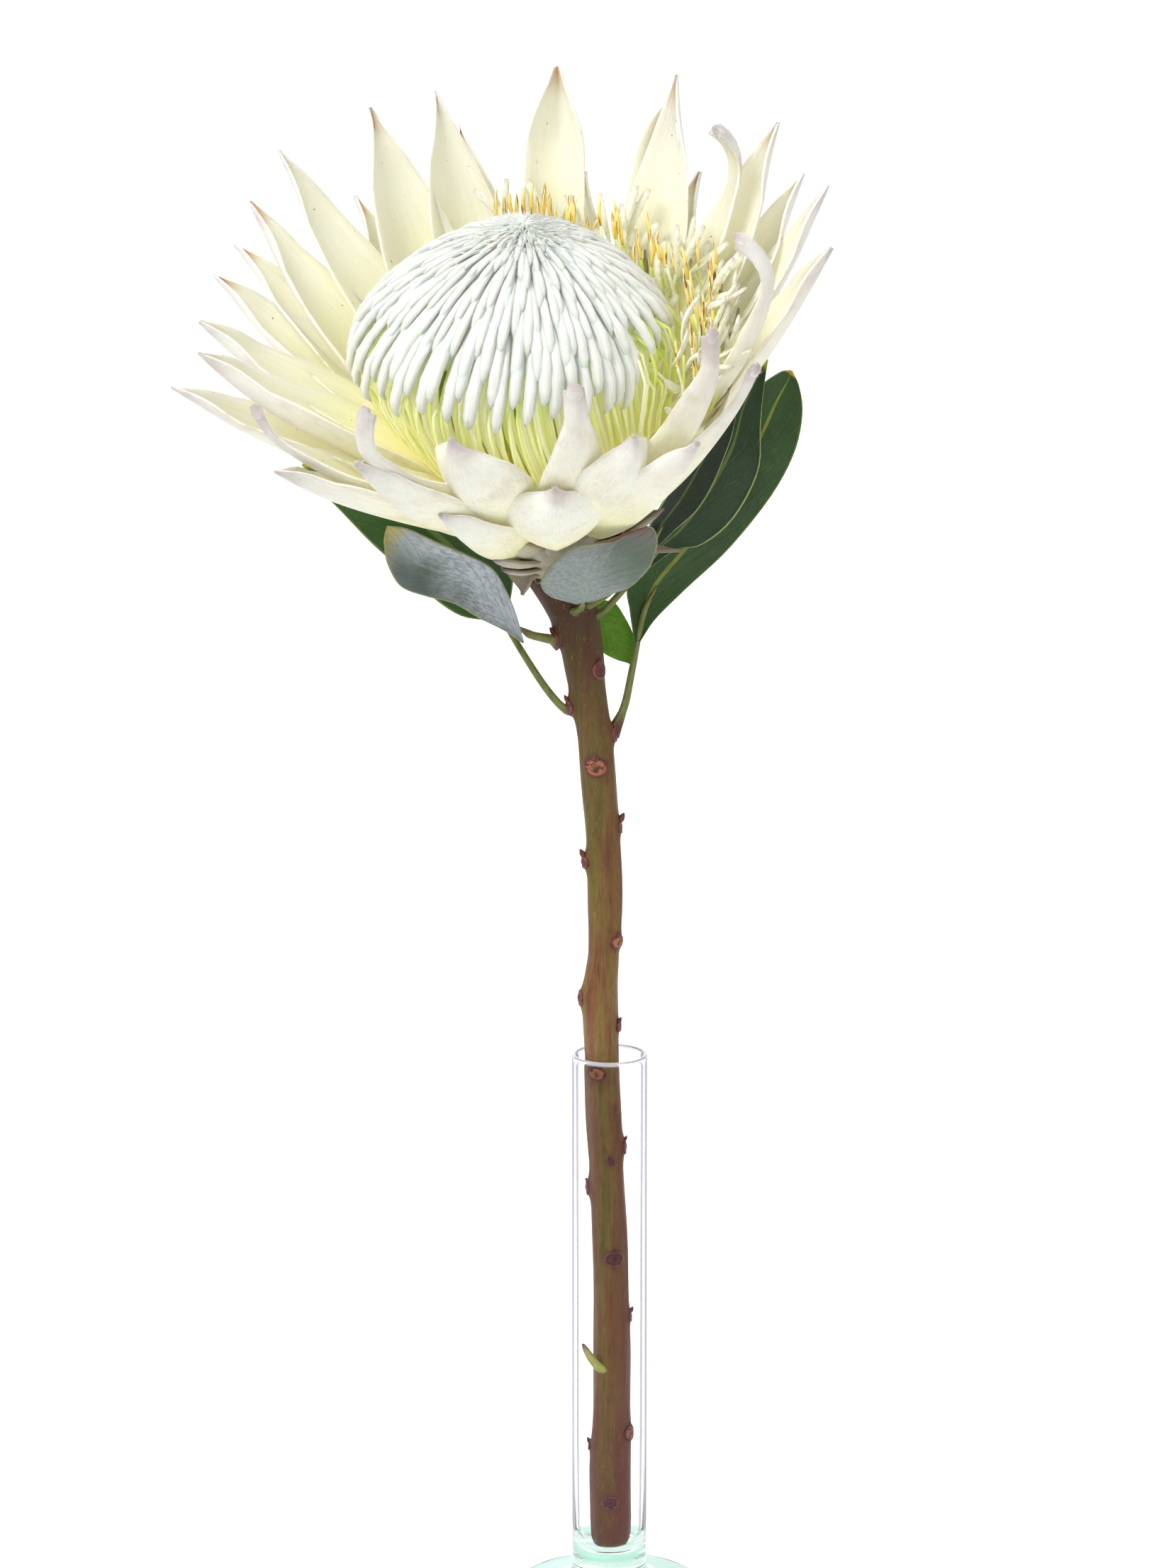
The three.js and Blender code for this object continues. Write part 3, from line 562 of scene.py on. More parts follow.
def bark():
    """Woody stem: olive with red-brown streaks, and painted light that lightens it towards the right.
    Upwards it darkens.
    In the vase painted light makes its left edge tan and painted shade makes its right side wine-red; at
    the foot it is wine-red too."""
    paint = Paint("stem_bark", 0.5, Specular_IOR_Level=0.22)
    height = paint.mark("along")
    across = paint.measured("X")
    in_vase = paint.slope(height, 0.55, 0.45)
    streaks = paint.noise(paint.place((150, 150, 10)), 1.6, 5.0, 0.6)
    blotches = paint.noise(paint.place((1, 1, 0.4)), 50.0, 4.0, 0.6)
    fine = paint.noise(paint.place((1, 1, 0.3)), 1000.0, 4.0, 0.6)
    cracks = paint.noise(paint.place((1, 1, 0.08)), 1500.0, 2.0, 0.5)
    # Painted light: a lighter red-brown that grows towards the right of the stem, broken up by the bark's
    # blotches.
    lit_side_and_blotches = paint.plus(paint.times(across, 45.0), paint.times(blotches, 0.9))
    paint.colour = paint.ramp(streaks, (0.3, (0.1, 0.095, 0.016)), (0.46, (0.2, 0.14, 0.034)),
                              (0.6, (0.19, 0.075, 0.028)), (0.74, (0.09, 0.02, 0.014)))
    paint.lay((0.23, 0.085, 0.028), paint.slope(lit_side_and_blotches, 0.3, 0.9), 0.8)
    paint.lay((0.12, 0.025, 0.018), paint.slope(blotches, 0.56, 0.7), 0.75)
    # In the vase: painted light makes the left edge tan, and painted shade makes the right side a darker
    # wine-red.
    paint.lay((0.25, 0.13, 0.075), paint.times(paint.slope(across, -0.0025, -0.006), in_vase), 0.7)
    paint.lay((0.16, 0.035, 0.035), paint.times(paint.slope(across, 0.0, 0.006), in_vase), 0.55)
    paint.lay((0.07, 0.05, 0.015), paint.slope(height, 0.45, 0.8), 0.45)
    paint.lay((0.055, 0.022, 0.015), paint.slope(height, 0.76, 0.95), 0.85)
    paint.lay((0.13, 0.035, 0.03), paint.slope(height, 0.3, 0.04), 0.75)
    paint.lay((0.05, 0.018, 0.01), paint.slope(cracks, 0.62, 0.72), 0.6)
    paint.lay((0.1, 0.045, 0.015), paint.slope(fine, 0.5, 0.3), 0.45)
    paint.lay((0.3, 0.18, 0.06), paint.slope(fine, 0.58, 0.75), 0.5)
    paint.lay((0.1, 0.022, 0.016), paint.mark("scar"))
    return paint.finish(paint.plus(streaks, fine), 0.35)


def scar_skin():
    """Leaf scars: a tan face, or a dark red one, with dark dots inside a dark rim."""
    paint = Paint("scar_skin", 0.55)
    across = paint.mark("across")
    patches = paint.noise(paint.place(), 700.0, 3.0)
    tan = paint.ramp(across, (0.1, (0.1, 0.035, 0.015)), (0.3, (0.3, 0.1, 0.035)),
                     (0.66, (0.36, 0.13, 0.05)), (0.8, (0.16, 0.025, 0.02)), (1.0, (0.07, 0.012, 0.01)))
    paint.colour = paint.ramp(across, (0.1, (0.04, 0.006, 0.006)), (0.4, (0.14, 0.025, 0.02)),
                              (0.7, (0.06, 0.01, 0.01)), (0.82, (0.26, 0.07, 0.05)),
                              (1.0, (0.12, 0.025, 0.02)))
    paint.lay(tan, paint.mark("tone"))
    paint.lay((0.06, 0.012, 0.012), paint.slope(patches, 0.54, 0.6))
    return paint.finish(patches, 0.4)


def bud_skin():
    """Small resting buds: dark wine-red with paler scale edges."""
    paint = Paint("bud_skin", 0.5)
    flecks = paint.noise(paint.place((1, 1, 0.5)), 900.0, 3.0)
    paint.colour = paint.ramp(flecks, (0.35, (0.05, 0.008, 0.008)), (0.6, (0.16, 0.03, 0.025)),
                              (0.8, (0.3, 0.15, 0.08)))
    return paint.finish(flecks, 0.2)


def shoot_skin():
    """A fresh side shoot: yellow-green with a wine-red tip."""
    paint = Paint("shoot_skin", 0.4)
    grain = paint.noise(paint.place(), 500.0, 3.0)
    paint.colour = paint.ramp(paint.mark("along"), (0.0, (0.2, 0.1, 0.03)), (0.2, (0.45, 0.48, 0.1)),
                              (0.75, (0.5, 0.45, 0.12)), (0.92, (0.2, 0.03, 0.03)))
    paint.lay((0.6, 0.6, 0.25), paint.slope(grain, 0.55, 0.75))
    return paint.finish(grain, 0.15)


def leaf_veins(paint, along, side):
    """Side veins that leave the midrib and run slantwise to the margin."""
    wander = paint.noise(paint.grain_place(3.0, 2.0), 1.0, 2.0)
    slant = paint.minus(paint.times(along, 9.0), paint.times(side, 2.8))
    turns = paint.times(paint.plus(slant, wander), 2 * math.pi)
    return paint.slope(paint.reckon("SINE", turns), 0.93, 1.0)


def leaf_rib(paint, along, side):
    """The midrib, broad at the base and fine at the tip."""
    half = paint.minus(0.075, paint.times(along, 0.06))
    edge = paint.plus(half, 0.03)
    rib = paint.node("ShaderNodeMapRange", {"Value": side, "From Min": edge, "From Max": half})
    return rib.outputs["Result"]


def leaf_skin(name, face, vein, margin, gloss=0.3, rib=0.5, tip=(0.45, 0.45, 0.05)):
    """A leathery green leaf: pale midrib and margin, faint slanting side veins."""
    paint = Paint(name, gloss, Specular_IOR_Level=0.3)
    along = paint.mark("along")
    side = paint.reckon("ABSOLUTE", paint.mark("across"))
    side_veins = leaf_veins(paint, along, side)
    mottle = paint.noise(paint.place(), 90.0, 4.0)
    grain = paint.noise(paint.grain_place(20.0, 12.0), 2.0, 4.0)
    ragged = paint.plus(along, paint.times(mottle, 0.06))
    paint.colour = paint.mix(paint.slope(mottle, 0.3, 0.75), tuple(c * 0.7 for c in face), face)
    paint.lay(tuple(c * 1.5 for c in face), paint.slope(grain, 0.5, 0.8))
    paint.lay(vein, side_veins, 0.13)
    paint.lay(vein, leaf_rib(paint, along, side), rib)
    paint.lay(margin, paint.slope(side, 0.945, 0.985))
    paint.lay(tip, paint.slope(ragged, 0.965, 1.02))
    paint.join(paint.plus(gloss, paint.times(mottle, 0.12)), "Roughness")
    return paint.finish(paint.minus(grain, paint.times(side_veins, 0.7)), 0.2)


def silver_skin(name, face, silver, vein, rusty, margin, purple, lean):
    """A grey-green leaf with silky silver hairs. Their silver is laid on as a painted sheen that leans to
    one side of it, and the rest is left dark as painted shade.
    """
    paint = Paint(name, 0.42, Sheen_Weight=0.04, Specular_IOR_Level=0.4)
    along = paint.mark("along")
    across = paint.mark("across")
    side = paint.reckon("ABSOLUTE", across)
    side_veins = leaf_veins(paint, along, side)
    silk = paint.noise(paint.grain_place(18.0, 7.0), 1.6, 5.0, 0.6)
    fine = paint.noise(paint.grain_place(90.0, 26.0), 1.6, 3.0, 0.6)
    patches = paint.noise(paint.place(), 42.0, 2.0)
    # Painted sheen and shade: where shade is low the silver hairs show as a painted sheen, where it is high
    # the leaf stays dark as painted shade; lean tilts it to one side.
    shade = paint.plus(paint.times(along, 0.62), paint.times(across, lean))
    shade = paint.plus(shade, paint.times(patches, -0.9))
    streaks = paint.plus(paint.times(paint.slope(silk, 0.35, 0.65), 0.55), 0.6)
    silver_and_sheen = paint.times(paint.slope(shade, 0.34, -0.34), streaks, True)
    fine_hairs_and_sheen = paint.times(paint.slope(fine, 0.58, 0.8), paint.times(silver_and_sheen, 0.45))
    blush = paint.plus(along, paint.times(patches, 0.5))
    stain = paint.plus(along, paint.times(paint.noise(paint.place(), 160.0, 4.0), 0.22))
    paint.colour = paint.mix(silver_and_sheen, face, silver)
    paint.lay((0.66, 0.7, 0.74), fine_hairs_and_sheen)
    paint.lay(vein, side_veins, 0.12)
    paint.lay(vein, leaf_rib(paint, along, side), 0.25)
    paint.lay(purple, paint.slope(blush, 0.75, 1.2), 0.7)
    paint.lay(rusty, paint.slope(stain, 0.9, 1.12), 0.9)
    paint.lay(margin, paint.slope(side, 0.95, 0.99))
    return paint.finish(paint.minus(silk, paint.times(side_veins, 0.6)), 0.25)


def stalk_skin():
    """Leaf stalks: olive green, red-brown where they leave the stem."""
    paint = Paint("stalk_skin", 0.4)
    streaks = paint.noise(paint.place((1, 1, 0.3)), 260.0, 4.0)
    paint.colour = paint.ramp(streaks, (0.35, (0.09, 0.12, 0.02)), (0.55, (0.17, 0.19, 0.04)),
                              (0.75, (0.14, 0.06, 0.03)))
    paint.lay((0.09, 0.025, 0.018), paint.slope(paint.mark("along"), 0.24, 0.06))
    return paint.finish(streaks, 0.2)


# The vase: a tube with a fused lip, a thick floor and a round foot.
VASE_HEIGHT = 197
TUBE_RADIUS = 13
TUBE_INSIDE = 11.5
FLOOR_TOP = 17
FOOT_RADIUS = 32
FOOT_THICKNESS = 4
# Its outline from the underside round to the floor: a corner (radius, height), then steps off it.
VASE_OUTLINE = [
    ((0, 0), [(0, 0.6), (10, 0.6), (24, 0.3)]),
    ((FOOT_RADIUS, 0), [(-2.5, 0), (-0.8, 0.3), (0, 1.4)]),
    ((FOOT_RADIUS, FOOT_THICKNESS), [(0, -1.4), (-0.9, -0.3), (-3, 0)]),
    ((0, FOOT_THICKNESS), [(22, 0.7), (17, 1.6), (14.6, 3), (13.4, 5), (TUBE_RADIUS, 8)]),
    ((TUBE_RADIUS, 0), [(0, 60), (0, 120)]),
    ((TUBE_RADIUS, VASE_HEIGHT), [(0, -2.6), (0.15, -1.4), (0, -0.5), (-0.45, 0)]),
    ((TUBE_INSIDE, VASE_HEIGHT), [(0.5, 0), (0.05, -0.5), (-0.05, -1.6), (0, -3)]),
    ((TUBE_INSIDE, 0), [(0, 120), (0, 60)]),
    ((TUBE_INSIDE, FLOOR_TOP), [(0, 8), (-0.5, 4), (-2.2, 1), (-5, -0.2)]),
    ((0, FLOOR_TOP), [(0, -0.4)]),
]


def clear_glass():
    """Clear glass: a painted reflection of dark surroundings greys it towards its edges, and a painted
    highlight pales its lip. Its thick base has a green cast.
    """
    paint = Paint("clear_glass", 0.0, Transmission_Weight=1.0, IOR=1.45,
                  Specular_Tint=(0.12, 0.12, 0.14, 1))
    height = paint.measured("Z")
    facing = paint.node("ShaderNodeLayerWeight", {"Blend": 0.5}).outputs["Facing"]
    edge = paint.times(paint.slope(facing, 0.52, 0.82), paint.slope(height, 0.014, 0.026))
    lip = paint.slope(height, (VASE_HEIGHT - 1.6) * MM, (VASE_HEIGHT - 0.8) * MM)
    clear = paint.minus(1.0, paint.times(edge, 0.85))
    base = paint.slope(height, 0.006, 0.022)
    paint.colour = paint.ramp(base, (0.0, (0.62, 0.87, 0.77)), (1.0, (0.995, 0.995, 1.0)))
    # Painted reflection: grey-violet towards the edges.
    paint.lay((0.3, 0.3, 0.4), edge)
    # Painted highlight: a pale line along the lip.
    paint.lay((0.8, 0.8, 0.88), lip, 0.7)
    paint.join(paint.times(paint.minus(1.0, edge), 0.5), "Specular IOR Level")
    paint.join(paint.minus(clear, paint.times(lip, 0.4), True), "Transmission Weight")
    return paint.finish()


def vase():
    outline = [
        ((radius + out) * MM, 0, (height + up) * MM)
        for (radius, height), steps in VASE_OUTLINE
        for out, up in steps
    ]
    mesh = bpy.data.meshes.new("vase_glass")
    mesh.from_pydata(outline, [(i, i + 1) for i in range(len(outline) - 1)], [])
    glass = bpy.data.objects.new("vase_glass", mesh)
    bpy.context.scene.collection.objects.link(glass)
    select_only(glass)
    bpy.ops.object.mode_set(mode="EDIT")
    bpy.ops.mesh.select_all(action="SELECT")
    bpy.ops.mesh.spin(steps=96, angle=2 * math.pi, center=(0, 0, 0), axis=(0, 0, 1))
    bpy.ops.mesh.select_all(action="SELECT")
    bpy.ops.mesh.remove_doubles(threshold=0.02 * MM)
    bpy.ops.mesh.normals_make_consistent(inside=False)
    bpy.ops.object.mode_set(mode="OBJECT")
    select_only(glass)
    bpy.ops.object.shade_smooth_by_angle(angle=math.radians(40))
    finish_piece(glass, "glass", ["vase"], clear_glass())


# Bracts. Each is a cupped blade that rises from the head, its tip pinched and often hooked.
# Their roots, row by row: distance from the head's axis, height. Below them each is sunk a little.
BRACT_ROWS = [(24, 36), (26, 31), (27, 25), (26, 19)]
BRACT_ROOT = 4
BRACT_THICKNESS = 0.9
BRACT_TWIST = 7
HOOK_FROM = 0.8
EDGE_HAIRS = 46
KNOB_HAIRS = 90
# For each kind of tip: where the bract is widest, how full it stays, half width at the tip, woolly knob.
TIPS = {
    "pointed": (0.38, 2.2, 0.5, 0),
    "strap": (0.3, 9.0, 2.2, 0),
    "hooded": (0.5, 2.5, 1.4, 1.4),
    "finger": (0.22, 1.5, 3.4, 2.4),
    "blunt": (0.2, 2.0, 4.1, 2.9),
}
SLIM_TIPS = ("pointed", "strap")
Bract = namedtuple("Bract", "turn rise length width row curl hook lean cup tip",
                   defaults=(0, 0, 0.27, "pointed"))
BRACTS = [
    Bract(16, 50, 126, 27, 1, 30),
    Bract(25, 50, 122, 27, 1, 30),
    Bract(30, 54, 131, 33, 0, 34),
    Bract(33, 58, 132, 17, 0, 40, hook=60, cup=0.4, tip="finger"),
    Bract(47, 56, 131, 31, 0, 34, lean=8),
    Bract(51, 50, 105, 25, 1, 30),
    Bract(59, 54, 129, 21, 1, 34, tip="strap"),
    Bract(78, 50, 98, 25, 1, 30),
    Bract(85.2, 60, 130, 21, 0, 34, lean=-1.8, tip="strap"),
    Bract(105, 54, 117, 27, 1, 34),
    Bract(111, 60, 127, 29, 0, 40),
    Bract(126, 58, 129, 33, 0, 44),
    Bract(132, 51, 105, 25, 1, 30),
    Bract(144, 54, 130, 29, 0, 34, lean=3),
    Bract(156, 42, 116, 29, 1, 24),
    Bract(162, 48, 122, 31, 0, 34, lean=-6),
    Bract(165, 41, 116, 31, 1, 30, cup=0.3),
    Bract(182, 39, 115, 30, 0, 30, cup=0.3),
    Bract(200, 41, 125, 36, 0, 30, cup=0.3),
    Bract(198, 36, 125, 28, 1, 20, cup=0.3),
    Bract(213, 39.5, 115, 27, 1, 30, hook=20, cup=0.3, tip="finger"),
    Bract(231, 43, 105, 23, 0, 40, hook=60, cup=0.35, tip="blunt"),
    Bract(216, 36, 100, 27, 2, 20, cup=0.3),
    Bract(230, 44, 92, 29, 2, 30, cup=0.35, tip="hooded"),
    Bract(246, 52, 77, 36, 1, 50, hook=20, cup=0.38, tip="hooded"),
    Bract(239, 44, 56, 28, 3, 30, cup=0.35, tip="hooded"),
    Bract(283, 60, 91, 26, 1, 40, hook=30, cup=0.2, tip="blunt"),
    Bract(275, 49, 57, 42, 2, 55, hook=20, cup=0.3, tip="hooded"),
    Bract(298, 49, 76, 34, 1, 50, hook=20, cup=0.38, tip="hooded"),
    Bract(309, 46, 86, 29, 2, 30, cup=0.3, tip="hooded"),
    Bract(320, 56, 108, 27, 1, 40, hook=20, cup=0.3, tip="blunt"),
    Bract(328, 51, 100, 28, 2, 30, cup=0.3, tip="finger"),
    Bract(345, 58, 128, 18, 0, 50, hook=70, cup=0.45, tip="finger"),
    Bract(358, 52, 123, 29, 2, 20),
]
# Short bracts low at the back: the first one's turn, the step from one to the next, how many.
BACK_FIRST = 40
BACK_STEP = 24
BACK_COUNT = 6


def bent_blade(v, turn, slopes, length, root):
    """A blade leaves its root (distance from the axis, height) at a turn, and follows the slopes, given
    in degrees at even steps. Gives its middle line at the places v, its side, and where its face looks."""
    angles = np.radians(slopes)
    ways = np.stack((np.cos(angles), np.sin(angles)), axis=1)
    line = root + np.vstack(((0, 0), np.cumsum(ways[:-1], axis=0))) * length / (len(ways) - 1)
    outward = np.array((turned(turn, 1, 0), UP))
    side = -around(turn)
    return read_rows(v, line) @ outward, side, np.cross(side, read_rows(v, ways) @ outward)


def bract_width(v, widest, fullness):
    """Share of the full width along a bract."""
    rising = 0.42 + 0.58 * np.sin(np.clip(v / widest, 0, 1) * math.pi / 2)
    falling = 1 - np.clip((v - widest) / (1 - widest), 0, 1) ** fullness
    return np.where(v < widest, rising, falling)


def bract_points(u, v, bract, dice):
    """A bract's points on the head, at the places u across it and v along it."""
    widest, fullness, tip_half, _ = TIPS[bract.tip]
    share = np.linspace(0, 1, 81)
    hooked = np.clip(share - HOOK_FROM, 0, 1) / (1 - HOOK_FROM)
    slopes = bract.rise + bract.curl * (share - 0.5) + bract.hook * hooked
    first = math.radians(slopes[0])
    root = np.array(BRACT_ROWS[bract.row]) - BRACT_ROOT * np.array((math.cos(first), math.sin(first)))
    middle, side, face = bent_blade(v, bract.turn, slopes, bract.length + BRACT_ROOT, root)
    middle -= side * (math.sin(math.radians(bract.lean)) * bract.length * v**2)[:, None]
    twist = (math.radians(dice.uniform(-BRACT_TWIST, BRACT_TWIST)) * v)[:, None]
    sides = side * np.cos(twist) + face * np.sin(twist)
    faces = face * np.cos(twist) - side * np.sin(twist)
    half = np.maximum(tip_half, bract_width(v, widest, fullness) * bract.width * 1.06 / 2)
    pinch = np.clip((v - 0.82) / 0.18, 0, 1) * (1 if bract.tip in SLIM_TIPS else 0.35)
    fold = 2 * bract.cup * (1 + 1.4 * pinch) * half * np.abs(u) ** (2 - 0.5 * pinch)
    reach = u * half * (1 - 0.35 * pinch) * (1 - 0.25 * bract.cup)
    phase = dice.uniform(0, 6.28, 3)
    wave = 0.5 * np.sin(7 * v + phase[0]) * u**2 + 0.35 * np.sin(17 * v + phase[1] + 2 * u) * u**2
    swelling = 0.6 * np.sin(5 * v + phase[2] + 1.5 * u) * np.sin(math.pi * v)
    keel = -1.1 * np.exp(-((u / 0.16) ** 2)) * (1 - v)
    return middle + sides * reach[:, None] + faces * (fold + wave + swelling + keel)[:, None]


def bracts():
    dice = np.random.default_rng(5)
    sheet, u, v = sheet_master(10, 26)
    shapes = list(BRACTS)
    for k in range(BACK_COUNT):
        odd = k % 2
        turn = BACK_FIRST + k * BACK_STEP
        shapes.append(Bract(turn, 44, 74 - 14 * odd, 27, 2 + odd, 30, cup=0.3))
    copies = [from_head(bract_points(u, v, shape, dice)) for shape in shapes]
    tones = [dice.uniform(0.4, 1) if shape.tip in SLIM_TIPS else 0.1 for shape in shapes]
    piece = stamp("bracts", sheet, copies, across=u, along=v, tone=tones)
    piece.data.materials.append(bract_inside())
    piece.data.materials.append(bract_outside())
    thickened(piece, BRACT_THICKNESS, material_offset=1, material_offset_rim=1)
    finish_piece(piece, "bracts", ["involucre"])
    finish_piece(bract_fringe(u, v, copies, dice), "bracts", [], bract_outside())
    finish_piece(tip_knobs(u, v, shapes, copies, dice), "bracts", [], bract_outside())


def bract_fringe(u, v, copies, dice):
    """White hairs along the bracts' edges."""
    hair = hair_master()
    hairs = []

    def lengthwise(points, across):
        chosen = np.where(np.abs(u - across) < 0.01)[0]
        return points[chosen[np.argsort(v[chosen])]]

    for points in copies:
        for edge in (-1, 1):
            rim = lengthwise(points, edge)
            inner = lengthwise(points, edge * 0.8)
            places = np.linspace(3, len(rim) - 1.2, EDGE_HAIRS) + dice.uniform(-0.2, 0.2, EDGE_HAIRS)
            for place in places:
                i = int(place)
                t = place - i
                root = rim[i] * (1 - t) + rim[i + 1] * t
                out = unit(root - (inner[i] * (1 - t) + inner[i + 1] * t))
                ahead = unit(rim[i + 1] - rim[i])
                way = unit(out + ahead * dice.uniform(0.2, 1.0) + dice.normal(0, 0.25, 3))
                hairs.append(spike(hair, root - way * 0.3, way, dice.uniform(0.7, 1.7), 0.07))
    return stamp("bract_fringe", hair, hairs, along=0.55, across=0.55, tone=0.55)


def tip_knobs(u, v, shapes, copies, dice):
    """The woolly knobs in which the front bracts end, with hairs on them."""
    ball = ball_master(10, 8)
    hair = hair_master()
    knobs, hairs = [], []
    for shape, points in zip(shapes, copies):
        size = TIPS[shape.tip][3]
        if not size:
            continue
        end = points[v > 0.99].mean(axis=0)
        way = unit(end - points[np.abs(v - 0.92) < 0.025].mean(axis=0))
        side = unit(points[(v > 0.99) & (u > 0.9)][0] - points[(v > 0.99) & (u < -0.9)][0])
        third = np.cross(way, side)
        lump = 1 + dice.normal(0, 0.06, (len(ball[0]), 1))
        body = ball[0] * lump * size * dice.uniform(0.9, 1.1)
        middle = end - way * size * 0.5
        knobs.append(middle + body @ np.array((side, third * 0.8, way * 1.25)))
        for _ in range(KNOB_HAIRS):
            out = unit(side * dice.normal() + third * dice.normal() + way * dice.normal(0.4, 1))
            root = middle + out * size * 0.9
            hairs.append(spike(hair, root, unit(out + way * 0.6), dice.uniform(0.6, 1.3), 0.06))
    across, _, height = ball[0].T
    body = stamp("tip_knobs", ball, knobs, along=0.95 + 0.09 * height, across=across, tone=0.1)
    fuzz = stamp("tip_hairs", hair, hairs, along=0.7, across=0.5, tone=0.5)
    return joined("tip_knobs", body, fuzz)


# The white cap: clubs that lie on a dome and point to its top. Its outline: distance from the middle,
# height.
CAP_PROFILE = np.array([
    (0, 52.5), (5, 51.3), (12, 48.5), (24, 42.5), (34, 35),
    (43, 25.5), (48.5, 16), (50, 8), (49.5, 0), (47, -5),
])
# For each ring of clubs: how many, distance of the lower ends from the top, length, width.
CLUB_RINGS = [
    (35, 80, 36, 4.5),
    (35, 73.5, 34, 4.3),
    (36, 66, 32, 3.9),
    (36, 58, 30, 3.5),
    (36, 50.5, 27, 3.1),
    (35, 43, 24, 2.8),
    (33, 36, 21, 2.5),
    (30, 29.5, 18, 2.3),
    (26, 23.5, 15, 2.1),
    (21, 18, 12, 1.9),
    (16, 13, 9, 1.8),
    (11, 8.5, 7, 1.6),
    (6, 4.5, 4, 1.5),
]
# A club's width along it, how far its ridges stand out, and how it lies on the dome: share of its
# length, lift in widths.
CLUB_WIDTHS = np.array((0.13, 0.36, 0.66, 0.92, 1.0, 0.88, 0.68, 0.3))
CLUB_RIDGE = 0.09
CLUB_LIE = [(0, 0.35), (0.12, 0.8), (0.35, 0.75), (0.65, 0.35), (1, -0.2)]
# The smooth lines of clubs and styles have 40 steps. Of a club's line these are kept, closer together
# where it bends.
LINE_STEPS = 40
CLUB_STOPS = [0, 3, 7, 12, 20, 29, 36, 40]
CLUB_HAIRS = 16
# In front the clubs' lower ends lie this much closer to the top.
FRONT_LIFT = 3.5
# Thicker hairs that hide where the uppermost clubs meet: how many, how far down from the top most lie.
CROWN_HAIRS = 900
CROWN_SPREAD = 9
# Where the outer florets have burst open: from the front right round to the back.
OPEN_FROM = -35
OPEN_TO = 105
OPEN_RINGS = 2


def dome_point(turn, distance, lift):
    """A point over the dome: its distance from the top along it, and its lift off it."""
    spans = np.linalg.norm(np.diff(CAP_PROFILE, axis=0), axis=1)
    far = np.concatenate(([0], np.cumsum(spans)))

    def at(place):
        return np.array([np.interp(place, far, column) for column in CAP_PROFILE.T])

    ahead = unit(at(distance + 3) - at(max(0, distance - 3)))
    radius, height = at(distance) + np.array((-ahead[1], ahead[0])) * lift
    return turned(turn, radius, height)


def in_open_sector(turn):
    return OPEN_FROM < between(turn, 0) < OPEN_TO


def white_cap():
    dice = np.random.default_rng(11)
    points, faces = rod_master(8, 7)
    turns = np.arctan2(points[:, 1], points[:, 0])
    ridged = points.copy()
    ridged[:, :2] *= (1 + CLUB_RIDGE * np.sign(np.cos(4 * turns)))[:, None]
    club = (ridged, faces)
    clubs, tones, browns = [], [], []
    for ring, (count, low, length, width) in enumerate(CLUB_RINGS):
        for k in range(count):
            turn = 360 * (k + (ring % 2) / 2 + dice.uniform(-0.14, 0.14)) / count
            open_side = in_open_sector(turn)
            if ring < OPEN_RINGS and open_side:
                continue
            start = low + dice.normal(0, 1.3) - FRONT_LIFT * max(0, -math.sin(math.radians(turn)))
            long = length * dice.uniform(0.94, 1.08)
            size = width * dice.uniform(0.88, 1.1)
            swing = dice.normal(0, 0.7)
            flare = dice.uniform(1.5, 3.5) if open_side and ring == OPEN_RINGS else dice.uniform(0, 0.6)
            line = []
            for share, lift in CLUB_LIE:
                distance = max(0.3, start - share * long)
                out = flare * max(0, 1 - share / 0.5)
                line.append(dome_point(turn + swing * share, distance, lift * size + out))
            path = smooth_line(line, LINE_STEPS)[CLUB_STOPS]
            half = CLUB_WIDTHS * size / 2
            clubs.append(from_cap(laid_along(club, path, around(turn), half, half * 0.86)))
            tones.append(dice.uniform())
            browns.append(1.0 if open_side and ring < OPEN_RINGS + 3 else 0.0)
    marks = dict(along=points[:, 2], across=np.sin(turns), tone=tones, brown=browns)
    finish_piece(stamp("white_cap_clubs", club, clubs, **marks), "wool", ["white_cap"], wool())
    finish_piece(cap_fuzz(clubs, points[:, 2], dice), "wool", [], wool())
    finish_piece(dome_bed(), "wool", [], wool())


def cap_fuzz(clubs, along, dice):
    """Short white hairs over the clubs, and thicker ones at the crown."""
    hair = hair_master()
    middle = from_cap(np.zeros(3))
    sides = np.where((along > 0.1) & (along < 0.95))[0]
    hairs = []
    for club in clubs:
        for i in dice.choice(sides, CLUB_HAIRS):
            out = unit(club[i] - middle)
            root = club[i] + dice.normal(0, 0.35, 3)
            down = unit(club[0] - club[-1])
            way = unit(out * 0.5 + down * dice.uniform(0.3, 1.0) + dice.normal(0, 0.35, 3))
            hairs.append(spike(hair, root - way * 0.2, way, dice.uniform(0.8, 1.8), 0.05))
    for _ in range(CROWN_HAIRS):
        turn = dice.uniform(0, 360)
        distance = abs(dice.normal(0, CROWN_SPREAD))
        root = from_cap(dome_point(turn, distance, 1.4))
        way = unit(from_cap(dome_point(turn, distance + 4, 3.0)) - root + dice.normal(0, 0.8, 3))
        hairs.append(spike(hair, root, way, dice.uniform(3, 6), dice.uniform(0.25, 0.4)))
    return stamp("cap_fuzz", hair, hairs, along=0.7, across=0.5, tone=0.5, brown=0.0)


